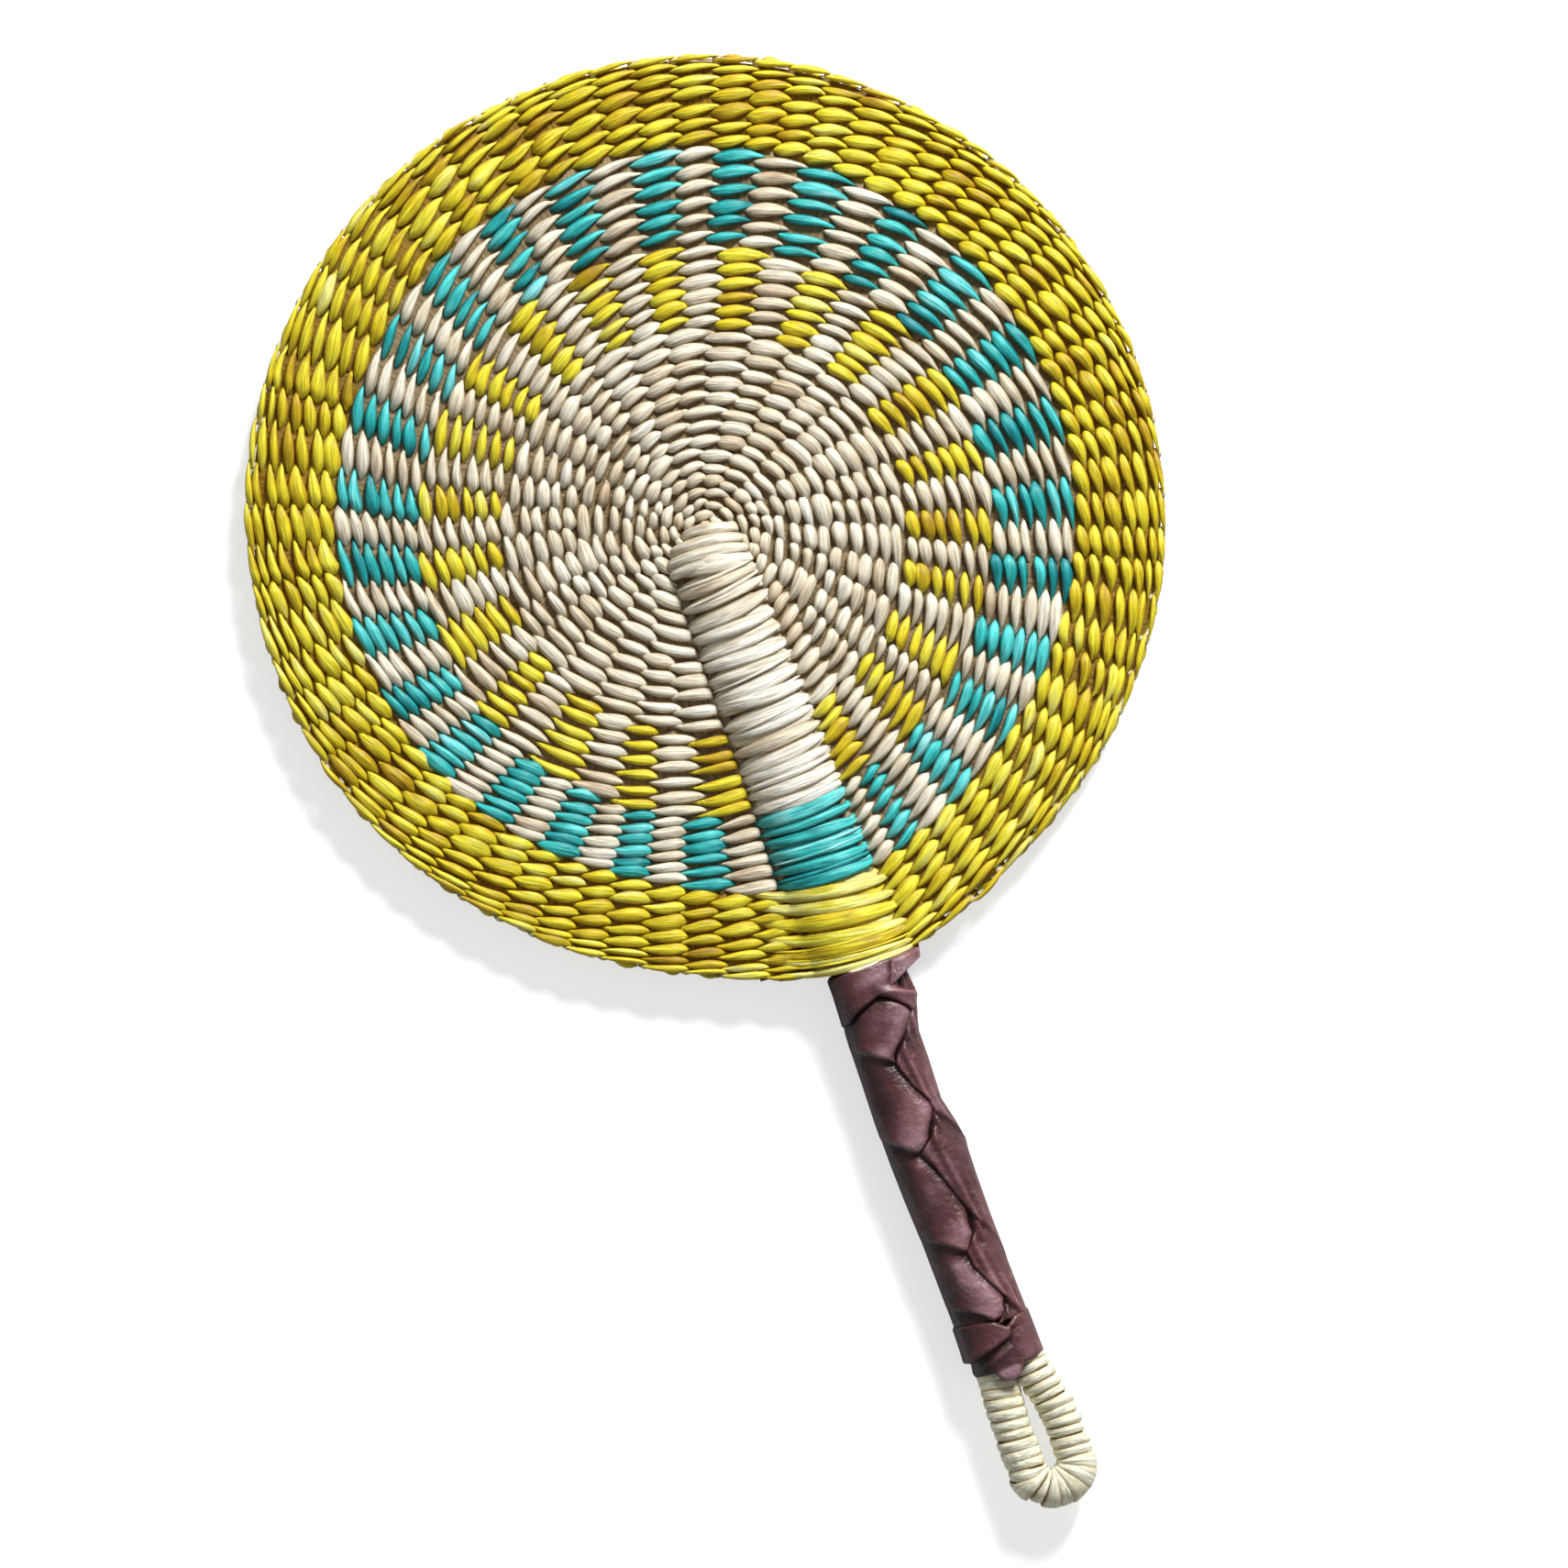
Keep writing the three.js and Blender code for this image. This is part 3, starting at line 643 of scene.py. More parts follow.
# %% Rows of the four bands
INNER_LEAN = (-4.8, 0.1, 1.1, 2.6, 1.4)
BANDS = {
    "weft_center_natural": (0.0, [min(3.07 + 0.13 * row, 4.22) for row in range(15)], INNER_LEAN),
    "weft_yellow_dash": (57.7, [4.0] * 6, INNER_LEAN),
    "weft_teal_dash": (81.7, [3.93] * 6, (-0.8, -3.2, -3.4, 0.7, 0.1)),
    "weft_yellow_border": (105.3, [4.4, 3.9, 4.7, 4.0, 3.5, 2.7, 2.3], (-2.4, 3.4, -0.6, -1.0, 1.7)),
}
PLACES = {"weft_yellow_dash": 44, "weft_teal_dash": 56, "weft_yellow_border": 72}
CENTER_PLACES = ((7, 6), (14, 10), (23, 16), (35, 22), (60, 32))
SPOKE_SHIFT = 0.1
place_shifts = {}


def places_at(band, radius):
    """How many places a row has, the handle core among them."""
    if band in PLACES:
        return PLACES[band]
    return next(count for reach, count in CENTER_PLACES if radius < reach)


def shifts_of(places):
    """Small fixed shifts of the spokes, the same in every row with that many places."""
    if places not in place_shifts:
        place_shifts[places] = luck.normal(0, SPOKE_SHIFT, places) * 2 * math.pi / places
    return place_shifts[places]


def band_rows(band):
    """Radius, pitch and number of places of each row of a band."""
    reach, pitches, _ = BANDS[band]
    rows = []
    for pitch in pitches:
        radius = reach + pitch / 2
        rows.append((radius, pitch, places_at(band, radius)))
        reach += pitch
    return rows


def band_straws(band, behind):
    """All straws of one band that start before (0) or behind (1) the handle core."""
    lean = BANDS[band][2]
    return [
        twined_straw(radius, pitch, places, behind, lean, shifts_of(places))
        for radius, pitch, places in band_rows(band)
    ]


print("Rows of the disc:", sum(len(band_rows(band)) for band in BANDS))

# %% [markdown]
# Over the handle core the photograph shows more strands than rows. The top end of the core is capped by four
# strips that grow wider downwards. Below them a loose strand lies on each row's own strip, and now and
# then a thin one beside it. In the border the strands are longer and end on the stitches beside the core.

# %% Strands over the handle core
CAP_PITCH = 3.1
CAP_TOP = 0.2
CAP_LEFT = (-5.5, -10.5, -12.6, -12.9)
CAP_RIGHT = (11.0, 12.0, 12.4, 12.6)
CAP_HEIGHTS = (5.6, 6.6, 7.2, 7.3)
CAP_RISE = -1.4
CAP_BOW = 1.3
CAP_DEPTH = 0.6
STRAND_KINDS = ((0.0, 0.5, 0.1), (0.42, 0.2, 0.25), (-0.3, 0.13, 0.4))
STRAND_LUCK = (0.1, 0.6, 0.15, 0.15, 0.17)
THIN_STRAND = 0.3
THIN_SLANT = 0.3
STRAND_UNDER = 0.5
STRAND_LEAST = 1.1
STRAND_BOW = 0.8
STRAND_DEPTH = 0.55
STRAND_ENDS = (0.14, 0.16, 0.0)
BORDER_ENDS = (0.6, 0.4, 2.6)
STRAND_TONE = 0.84
STRAND_TONES = {"weft_teal_dash": 0.64, "weft_yellow_border": 0.77}


def flat_strand(path, half_width, half_depth, tone):
    """A flat strand over the handle core, from left to right, with painted shade at both ends, most at its
    left end.
    """
    share = np.linspace(-1, 1, len(path))
    up = unit(np.cross(DOWN_HANDLE, unit(np.gradient(path, axis=0))))
    dive_shade = np.where(share < 0, share ** 4, share ** 8)
    return straw(path, DOWN_HANDLE, up, half_width, half_depth, path[:, 0], tone, dive_shade)


def cap_strip(number):
    """A strip that arches over the top end of the handle core, the first one the shortest."""
    share = np.linspace(-1, 1, SPINE_STEPS)
    arch = (1 - share ** 2) ** ARCH_POWER
    beside = np.interp(share, [-1, 1], [CAP_LEFT[number], CAP_RIGHT[number]])
    level = CAP_TOP - CAP_PITCH * number + CAP_BOW * (arch - 1) + CAP_RISE * share
    path = np.column_stack([beside, level, 0.5 + CAP_HEIGHTS[number] * arch])
    return flat_strand(path, CAP_PITCH * (0.2 + 0.42 * arch ** 0.6), CAP_DEPTH, 0.6 + 0.06 * number)


def spine_strands(band):
    """The loose strands of a band. Each kind has its place beside the row, its width and its height.
    Luck moves the place, slant, height, width and tone of each one, and thin ones are few."""
    strands = []
    left_end, right_end, level = BORDER_ENDS if band == "weft_yellow_border" else STRAND_ENDS
    share = np.linspace(-1 - left_end, 1 + right_end, SPINE_STEPS)
    run = np.linspace(-1, 1, SPINE_STEPS)
    bow = (1 - share ** 2).clip(0)
    band_tone = STRAND_TONES.get(band, STRAND_TONE)
    for radius, pitch, _ in band_rows(band):
        left, right = spine_edges(radius)
        first, last = spine_ends(radius)
        chord = first + (share[:, None] + 1) / 2 * (last - first)
        beyond = row_point(radius, np.where(share < 0, -left, right) * share)
        for offset, width, top in STRAND_KINDS:
            shift, slant, lift, swell, tone = luck.normal(0, 1, 5) * STRAND_LUCK
            if width < THIN_STRAND and slant < THIN_SLANT:
                continue
            plan = np.where(np.abs(share[:, None]) <= 1, chord, beyond)
            plan[:, 1] += (offset + shift) * pitch + (strip_rise(radius) + slant) * share
            plan[:, 1] -= STRAND_BOW * bow
            rise = (STRIP_FRONT - STRAND_UNDER + top + lift) * core_height(radius) * bow ** ARCH_POWER
            height = np.maximum(STRAND_LEAST + rise, (level + top) * (1 - run ** 8))
            half_width = pitch * width * (1 + swell) * (0.12 + 0.88 * (1 - run ** 2) ** 0.6)
            path = np.column_stack([plan, height])
            strands.append(flat_strand(path, half_width, STRAND_DEPTH, band_tone + tone))
    return strands


caps = [cap_strip(number) for number in range(len(CAP_HEIGHTS))]
print("Strips over the top of the core:", len(caps))

# %% [markdown]
# Each colour of a band is one piece. 0 stands for the straws that go before the handle core, 1 for those
# that go behind it. The loose strands belong to the straws before the core.

# %% Pieces of the weave
WEAVE_PIECES = (
    ("center_natural", "weft_center_natural", (0, 1), natural_straw, "weave_natural"),
    ("yellow_dash_natural", "weft_yellow_dash", (0,), natural_straw, "weave_natural"),
    ("yellow_dash_yellow", "weft_yellow_dash", (1,), yellow_straw, "weave_yellow_dash"),
    ("teal_dash_natural", "weft_teal_dash", (1,), natural_straw, "weave_natural"),
    ("teal_dash_teal", "weft_teal_dash", (0,), teal_straw, "weave_teal_dash"),
    ("yellow_border", "weft_yellow_border", (0, 1), yellow_straw, "weave_yellow"),
)

for name, band, sides, finish, slot in WEAVE_PIECES:
    strands = spine_strands(band) if 0 in sides else []
    tops = caps if band == "weft_center_natural" else []
    straws = [made for behind in sides for made in band_straws(band, behind)]
    add_piece(straw_mesh(name, straws + tops + strands), finish, slot, band)

# %% [markdown]
# The spokes are the straws that the rows are twined round. Between the rows only bits of them show,
# painted dark with shade, and their pale tips end at the rim. Each band has its own spokes, at the places
# of its stitches, with one at each side of the handle core.

# %% Spokes
SPOKE_STEPS = 7
SPOKE_SHARE = 0.75
SPOKE_DEPTH = 0.55
SPOKE_START = 1.2
SPOKE_LAP = 2.9
SPOKE_REACH = 129.0
SPOKE_CLOSE = 0.3
BESIDE_CORE = 0.55
SPOKE_NODES = {
    "weft_center_natural": range(1, 17),
    "weft_yellow_dash": range(17, 24),
    "weft_teal_dash": range(24, 29),
    "weft_yellow_border": range(29, 37),
}


def angle_at(band, places, number, radius):
    """Angle of one place of the weave at a radius."""
    return place_angles(np.array([float(number)]), radius, places, BANDS[band][2], shifts_of(places))[0]


def spoke(band, places, number, start, end):
    """A flat straw from one radius to another at one place of the weave."""
    inner = np.linspace(start + SPOKE_CLOSE, end - SPOKE_CLOSE, SPOKE_STEPS - 2)
    radii = np.concatenate([[start], inner, [end]])
    plan = np.array([row_point(radius, angle_at(band, places, number, radius)) for radius in radii])
    path = np.column_stack([plan, np.zeros(SPOKE_STEPS)])
    side = np.cross(unit(np.gradient(path, axis=0)), UP)
    half_width = SPOKE_SHARE * 2 * math.pi * radii / places
    return straw(path, side, UP, half_width, SPOKE_DEPTH, radii - start, tone=0.5, depth=0.0)


def band_spokes(band):
    """All spokes of a band, each as long as the rows that share its place."""
    spokes = []
    rows = band_rows(band)
    for places in sorted({row[2] for row in rows}):
        radii = [radius for radius, _, count in rows if count == places]
        start = max(min(radii) - SPOKE_LAP, SPOKE_START)
        end = min(max(radii) + SPOKE_LAP, SPOKE_REACH)
        for number in (BESIDE_CORE, *range(1, places), places - BESIDE_CORE):
            spokes.append(spoke(band, places, number, start, end))
    return spokes


print("Spoke pairs replaced:", sum(map(len, SPOKE_NODES.values())))

# %% Tips of the spokes
TIP_LENGTH = 3.6
TIP_PAST = 0.2
TIP_HEIGHTS = (-0.2, 1.0, -0.4)
TIP_HALVES = (0.8, 1.7)
TIP_DEPTH = 0.4
TIPS_FREE = 2


def rim_tip(number):
    """The pale end of a spoke, turned over between the stitches of the last row."""
    border = "weft_yellow_border"
    angle = angle_at(border, PLACES[border], number + 0.5, DISC_RADIUS)
    radii = np.linspace(DISC_RADIUS - TIP_LENGTH, DISC_RADIUS + TIP_PAST, SPOKE_STEPS)
    plan = np.array([row_point(radius, angle) for radius in radii])
    path = np.column_stack([plan, np.interp(radii, [radii[0], radii[-2], radii[-1]], TIP_HEIGHTS)])
    forward = unit(np.gradient(path, axis=0))
    side = unit(np.cross(forward, UP))
    half_width = np.linspace(*TIP_HALVES, SPOKE_STEPS)
    return straw(path, side, np.cross(side, forward), half_width, TIP_DEPTH, radii, tone=0.6, depth=0.0)


tips = [rim_tip(number) for number in range(TIPS_FREE, PLACES["weft_yellow_border"] - TIPS_FREE)]
add_piece(straw_mesh("spoke_tips", tips), natural_straw, "straw_natural", "spoke_pair_36")

for band, numbers in SPOKE_NODES.items():
    nodes = [f"spoke_pair_{number:02d}" for number in numbers]
    finish = shaded_yellow if band == "weft_yellow_border" else shaded_straw
    mesh = straw_mesh(band.replace("weft", "spokes"), band_spokes(band))
    add_piece(mesh, finish, "straw_natural", *nodes)

# %% [markdown]
# The grip is covered by leather straps that lap over each other like scales: lobes from the left and from
# the right meet in a zigzag seam at the front. Each side is a fine grid bent round the oval of the grip.
# Its height follows a few measured lines: the seam, where the edges roll down, and the lower edge of each
# lobe, where the upper lobe lies on the next one. Turns round the grip become millimetres by ROUND_MM.

# %% Oval of the grip
GRIP_LEVELS = (-252, -232, -210, -198, -187, -182, -174, -162, -154, -148, -142, -136)
GRIP_LEFT = (10.5, 10.7, 10.9, 11.4, 11.6, 11.6, 11.6, 11.2, 11.0, 10.8, 10.4, 10.1)
GRIP_RIGHT = (10.7, 10.5, 10.4, 10.6, 11.1, 10.4, 8.7, 9.3, 9.4, 10.9, 12.5, 12.0)
GRIP_FRONT = 8.2
GRIP_BACK = 10.5
FLOOR_LEVEL = -8.5
ROUND_MM = 9.8
SIDE_MARGIN = 0.3
SIDEMOST = 0.98


def ease(value, start, end):
    """0 before start, 1 after end, and a smooth step between them."""
    share = np.clip((value - start) / (end - start), 0, 1)
    return share * share * (3 - 2 * share)


def grip_half(turn, level):
    """Half the width of the grip, left and right of its axis."""
    left, right = [np.interp(level, GRIP_LEVELS, halves) for halves in (GRIP_LEFT, GRIP_RIGHT)]
    return np.where(turn < 0, left, right)


def grip_points(turn, level, lift):
    """Points on the grip. turn is 0 at the front and grows to the right, lift is outwards."""
    x = (grip_half(turn, level) + lift) * np.sin(turn)
    front = (GRIP_FRONT + lift) * np.cos(turn)
    back = np.maximum(FLOOR_LEVEL, (GRIP_BACK + lift) * np.cos(turn))
    return np.stack([x, level + 0 * x, np.where(np.cos(turn) > 0, front, back)], axis=-1)


def turn_at(x, level):
    """Turn round the grip of a point that the picture shows x beside the axis."""
    share = x / (grip_half(np.asarray(x), level) + SIDE_MARGIN)
    return np.arcsin(np.clip(share, -SIDEMOST, SIDEMOST))


print("Girth of the grip:", round(2 * math.pi * ROUND_MM, 1))

# %% [markdown]
# The leather is brown, soft and much handled. Its field relief is low in grooves and on the left flank
# and high on raised edges, and the colour follows it: painted shade where it is low, painted highlight
# and wear where it is high. Noise adds patches, rusty stains, creases and a fine grain.
# A sheet is bent first and then gets its thickness inwards. Nothing of it goes below the floor.

# %% Leather finish
LEATHER_STOPS = ((0.1, (18, 5, 6)), (0.4, (63, 30, 30)), (0.7, (99, 62, 66)), (1.0, (154, 121, 131)))
RUST = (0.93, 0.7, 0.62, 1)
CREASE_STRETCH = (1.0, 0.4, 1.0)


def leather_finish():
    """Brown leather: patches of tone, a fine grain, and the relief field, which paints shade in the grooves
    and highlight and wear on raised edges.
    """
    material, tree, shader = new_material("leather_brown")
    place = object_place(tree)
    stretched = add_node(tree, "Mapping", Vector=place, Scale=CREASE_STRETCH).outputs[0]
    patches = noise(tree, place, 70.0, 4.0)
    creases = noise(tree, stretched, 320.0, 4.0)
    stains = noise(tree, place, 75.0, 5.0, 0.65)
    grain = add_node(tree, "TexVoronoi", Vector=place, Scale=1500.0).outputs["Distance"]

    mottled = map_range(tree, patches, (0.3, 0.7), (0.08, 0.52))
    # The relief field carries painted shade and painted highlight: darker in grooves and on the left flank,
    # paler on raised edges.
    tone_and_shade = calculate(tree, "ADD", mottled, field_value(tree, "relief"))
    stained = map_range(tree, stains, (0.42, 0.6), (0.0, 0.85))
    colour = mix_colours(tree, stained, colour_ramp(tree, tone_and_shade, LEATHER_STOPS), RUST, "MULTIPLY")
    gloss = map_range(tree, creases, (0.3, 0.7), (0.38, 0.52))
    height = calculate(tree, "MULTIPLY_ADD", grain, 0.35, creases)
    bump = add_node(tree, "Bump", Strength=0.3, Distance=0.0006, Height=height)
    lumps = add_node(tree, "Bump", Strength=0.75, Distance=0.0025, Height=patches, Normal=bump.outputs[0])
    set_inputs(tree, shader, Base_Color=colour, Roughness=gloss, Specular_IOR_Level=0.55,
               Normal=lumps.outputs[0])
    return material


brown_leather = leather_finish()
print("Finish:", brown_leather.name)

# %% Sheets of leather
LEATHER_THICKNESS = 1.0


def thicken(mesh):
    """Give a sheet its thickness, towards the handle's axis."""
    shape = welded(mesh)
    shape.normal_update()
    axis_x, _, axis_z = on_fan([0, 0, 0])
    facing = 0
    for face in shape.faces:
        middle = face.calc_center_median()
        facing += face.normal.x * (middle.x - axis_x) + face.normal.z * (middle.z - axis_z)
    if facing < 0:
        bmesh.ops.reverse_faces(shape, faces=shape.faces[:])
        shape.normal_update()
    bmesh.ops.solidify(shape, geom=shape.faces[:], thickness=LEATHER_THICKNESS * MM)
    bmesh.ops.recalc_face_normals(shape, faces=shape.faces)
    for vert in shape.verts:
        vert.co.z = max(vert.co.z, 0)
    return smoothed(shape, mesh)


def add_leather(name, points, relief, node):
    """A piece of leather from a grid of points and its relief."""
    mesh = grid_mesh(name, [{"points": points, "relief": relief}])
    add_piece(thicken(mesh), brown_leather, "leather_brown", node)


print("Leather in millimetres:", LEATHER_THICKNESS)

# %% [markdown]
# The seam is read off the photograph as a run of points, x beside the axis and y along the handle.
# At its left turns the lower edge of a left lobe begins, at its right turns that of a right lobe.
# Slots are places where the seam gapes, each with its level and half its length.

# %% Seam and laps of the grip
SEAM = (
    (10.0, -138), (10.0, -147.4), (4.4, -154.2), (0.6, -157.7), (-0.5, -160), (2.1, -167.8), (5.3, -173.4),
    (5.6, -175.7), (4.7, -178.1), (1.5, -183), (-3.1, -186.3), (-0.7, -190.5), (4.7, -206.5), (4.2, -212.3),
    (2.5, -213.9), (-0.1, -217.1), (0.3, -221.4), (2.6, -226.4), (6.0, -233), (5.2, -235.7), (-0.1, -240),
)
SLOTS = ((-156.0, 2.4), (-180.0, 3.5), (-210.0, 3.4), (-234.5, 1.8))
LAP_FADE_OVER = 8
LAP_FADE_UNDER = 6
LAP_ROLL = 0.4
LAP_RISE = 1.0


def seam_turn(level):
    """Turn of the seam at each level."""
    return turn_at(np.interp(-level, [-y for x, y in SEAM], [x for x, y in SEAM]), level)


def gaping(level, least, more):
    """A size along the seam, which grows at the slots, where the seam gapes."""
    return least + more * sum(hump(level - middle, half) for middle, half in SLOTS)


def bulge(value, middle, width, height):
    """A rounded ridge."""
    return height * hump(value - middle, width)


def spot(beside, level, middle, widths, height):
    """A rounded patch, with its widths across and along the grip."""
    return bulge(beside, middle[0], widths[0], height) * hump(level - middle[1], widths[1])


def lapped(above, raise_up, sink, fade):
    """Height near the edge of a lobe: above is the distance over the edge, negative under it."""
    over = raise_up * hump(above, LAP_FADE_OVER, 1) * ease(above, -LAP_ROLL, LAP_RISE)
    under = -sink * hump(above, LAP_FADE_UNDER, 1) * ease(-above, -LAP_ROLL, LAP_ROLL)
    return (over + under) * fade


print("Points of the seam:", len(SEAM))

# %% [markdown]
# The relief of a side adds up its laps, its folds and the way it tucks in at the seam. The left lobes swell
# beside the seam and climb away from it, the right ones are drawn into slanted folds and go under the left.

# %% Relief of the left side
LEFT_EDGES = ((-0.5, -160.0), (-3.1, -186.3), (-0.1, -217.1), (0.5, -238.0))
LEFT_CLIMB = 8
LEFT_CLIMB_WIDTH = 6
LEFT_LAP = (1.2, 0.9)
LEFT_LAP_WIDTH = 8.5
LEFT_SWELL = (4, 3, 0.5)
LEFT_DIP = (0.5, 0.7)
SEAM_WIDTH = 1.3
UNDER_COLLAR = 1.2
UNDER_COLLAR_FADE = 2
FRONT_HALF = 10
COLLAR_EDGE_X = (-33, -14, -8, -5.3, 1.7, 10.0, 14, 33)
COLLAR_EDGE_Y = (-146.5, -146, -145, -143.1, -140.4, -147.4, -148, -146.5)


def left_lift(across, level):
    """Relief of the left side, by the distance to the left of the seam."""
    beside_axis = ROUND_MM * seam_turn(level) - across
    lift = np.zeros_like(across)
    for edge_x, edge_y in LEFT_EDGES:
        beside = np.maximum(0, ROUND_MM * turn_at(edge_x, edge_y) - beside_axis)
        edge = edge_y + LEFT_CLIMB * (1 - hump(beside, LEFT_CLIMB_WIDTH, 1))
        lift += lapped(level - edge, *LEFT_LAP, hump(beside, LEFT_LAP_WIDTH))
    under_collar = (np.interp(beside_axis, COLLAR_EDGE_X, COLLAR_EDGE_Y) - level).clip(0)
    at_front = 0.2 + 0.8 * hump(beside_axis, FRONT_HALF, 4)
    lift -= UNDER_COLLAR * hump(under_collar, UNDER_COLLAR_FADE, 1) * at_front
    return lift + bulge(across, *LEFT_SWELL) - gaping(level, *LEFT_DIP) * hump(across, SEAM_WIDTH)


print("Laps on the left side:", len(LEFT_EDGES))

# %% Relief of the right side
RIGHT_EDGES = ((5.6, -175.7), (4.7, -206.5), (6.0, -233.0))
RIGHT_SLOPE = 1.4
RIGHT_LAP = (0.9, 0.9)
RIGHT_LAP_WIDTH = 5
RIGHT_TUCK = (0.9, 1.2)
RIGHT_DIP = (1.2, 0.7)
FOLDS = (2.8, 2.6, 0.42)
FOLD_PITCH = 3.6
FOLD_SLOPE = 0.11


def right_lift(across, level):
    """Relief of the right side, by the distance to the right of the seam."""
    beside_axis = ROUND_MM * seam_turn(level) + across
    lift = np.zeros_like(across)
    for edge_x, edge_y in RIGHT_EDGES:
        beside = beside_axis - ROUND_MM * turn_at(edge_x, edge_y)
        edge = edge_y - RIGHT_SLOPE * beside
        lift += lapped(level - edge, *RIGHT_LAP, hump(beside, RIGHT_LAP_WIDTH, 1))
    folds = np.sin(2 * math.pi * (beside_axis + FOLD_SLOPE * level) / FOLD_PITCH)
    lift += folds * bulge(across, *FOLDS)
    tucked = ease(across, -LAP_ROLL, gaping(level, *RIGHT_TUCK))
    return lift * tucked - gaping(level, *RIGHT_DIP) * (1 - tucked)


print("Laps on the right side:", len(RIGHT_EDGES))

# %% Left and right side of the grip
PALE_SPOT_PLACES = (((-2.9, -189.5), 0.4), ((-3.0, -219.5), 0.25), ((0.6, -162.5), 0.2))
PALE_SPOT_WIDTHS = (1.7, 1.3)
WRAP_TOP = -136.0
WRAP_LOW = -239.5
WRAP_STEP = 0.5
WRAP_LAP = 3.0
SLOT_WIDTH = 0.7
CROWDING = 1.15
FLANK_SHADE = 0.33
FLANK_TURNS = (0.2, 1.1)
RELIEF = (0.32, 0.3)


def flank_shade(turn):
    """Painted shade on the left flank of the grip, which faces away from the lamp."""
    return FLANK_SHADE * ease(-turn, *FLANK_TURNS)


def pale_spots(beside, level):
    """Pale spots where a left lobe comes out from under the one above it."""
    return sum(spot(beside, level, middle, PALE_SPOT_WIDTHS, strength) for middle, strength in PALE_SPOT_PLACES)


def grip_side(name, side, columns, node):
    """One side of the grip: -1 is the left, 1 the right. Columns stand closer near the seam."""
    levels = np.arange(WRAP_TOP, WRAP_LOW, -WRAP_STEP)[:, None]
    share = np.linspace(0, 1, columns)[None]
    seam = seam_turn(levels)
    past_seam = gaping(levels, 0, SLOT_WIDTH) if side < 0 else WRAP_LAP
    edge = seam - past_seam / ROUND_MM
    turn = edge + share ** CROWDING * (side * math.pi - edge)
    side_lift = left_lift if side < 0 else right_lift
    lift = side_lift(side * (turn - seam) * ROUND_MM, levels)
    # The relief paints shade where the leather lies low and on the left flank, and paints it paler where it
    # is raised and at the pale spots.
    relief = RELIEF[0] + RELIEF[1] * lift - flank_shade(turn) + pale_spots(turn * ROUND_MM, levels)
    add_leather(name, grip_points(turn, levels, lift), relief, node)


grip_side("grip_leather_left", -1, 84, "leather_wrap_left")
grip_side("grip_leather_right", 1, 72, "leather_wrap_right")

# %% [markdown]
# The collar is a short strap round the top of the grip. Its lower edge rises to a point at the front and
# runs down to the right, where it throws a shadow on the first lobe. Its top goes under the rim of the
# disc. The end band closes the grip in the same way. Both are sheets that go all round.

# %% Sheets all round the grip
RING_COLUMNS = 140
RING_ROWS = 44
RING_RELIEF = (0.31, 0.24)

ring_turn = np.linspace(-math.pi, math.pi, RING_COLUMNS)[None]
ring_share = np.linspace(0, 1, RING_ROWS)[:, None]
ring_beside = ring_turn * ROUND_MM


def add_ring(name, levels, lift, shade, node):
    """A sheet all round the grip, with the level, lift and shade of each point."""
    # Painted shade where the sheet lies low, on the left flank and by the given shade; painted highlight
    # where it is raised.
    relief = RING_RELIEF[0] + RING_RELIEF[1] * lift - flank_shade(ring_turn) - shade
    add_leather(name, grip_points(ring_turn + 0 * ring_share, levels, lift), relief, node)


def lower_left(levels, strength, left, down):
    """A patch that grows to the left and downwards, between two distances each way."""
    return strength * ease(-ring_beside, *left) * ease(-levels, *down)


def ridge_line(levels, start, end, width, height, begins, ends):
    """A ridge along a line, which begins and ends softly at these shares of it."""
    run = np.subtract(end, start)
    length = math.hypot(*run)
    share = ((ring_beside - start[0]) * run[0] + (levels - start[1]) * run[1]) / length ** 2
    away = ((ring_beside - start[0]) * run[1] - (levels - start[1]) * run[0]) / length
    return height * hump(away, width) * ease(share, *begins) * (1 - ease(share, *ends))


print("Points of a sheet round the grip:", RING_COLUMNS * RING_ROWS)

# %% [markdown]
# The collar's front has a flat facet, a rolled edge that runs down to the right and a hole under the tab.
# Painted shade darkens its lower left, which turns away from the light, a line down beside the tab and the
# hole under it.

# %% Collar
COLLAR_TOP = -127.5
COLLAR_LIFT = 0.2
COLLAR_FRONT = 0.7
COLLAR_FRONT_HALF = 11
COLLAR_DIP = 3.2
DIP_LEVELS = (-132, -129.4)
COLLAR_ROUND = 0.5
FACET = ((1, -136), (5, 2.2), 0.7)
ROLL = ((2.0, -139.2), (12.5, -143.8), 1.3, 1.3, (-0.15, 0.2), (0.8, 1.3))
HOLE = ((11.4, -139.3), (3.3, 1.8), 4.6)
HOLE_SHADE = ((11.4, -139.3), (3.6, 2.0), 0.9)
SLIT_SHADE = ((7.2, -130.5), (5.4, -138.5), 0.8, 0.5, (-0.1, 0.1), (0.9, 1.1))
COLLAR_SHADE = 0.08
COLLAR_CORNER = (0.16, (-2, 3), (136.5, 139.5))

lower = np.interp(ring_beside, COLLAR_EDGE_X, COLLAR_EDGE_Y)
levels = COLLAR_TOP + ring_share * (lower - COLLAR_TOP)
lift = COLLAR_LIFT + COLLAR_FRONT * hump(ring_beside, COLLAR_FRONT_HALF, 4)
lift = lift - COLLAR_DIP * ease(levels, *DIP_LEVELS) - COLLAR_ROUND * ease(ring_share, 0.95, 1.0)
lift = lift + ridge_line(levels, *ROLL)
lift = lift + spot(ring_beside, levels, *FACET) - spot(ring_beside, levels, *HOLE)
# Painted shade: the lower left corner, the line beside the tab and the hole.
shade = COLLAR_SHADE + lower_left(levels, *COLLAR_CORNER) + ridge_line(levels, *SLIT_SHADE)
shade = shade + spot(ring_beside, levels, *HOLE_SHADE)
add_ring("collar_leather", levels, lift, shade, "leather_collar")

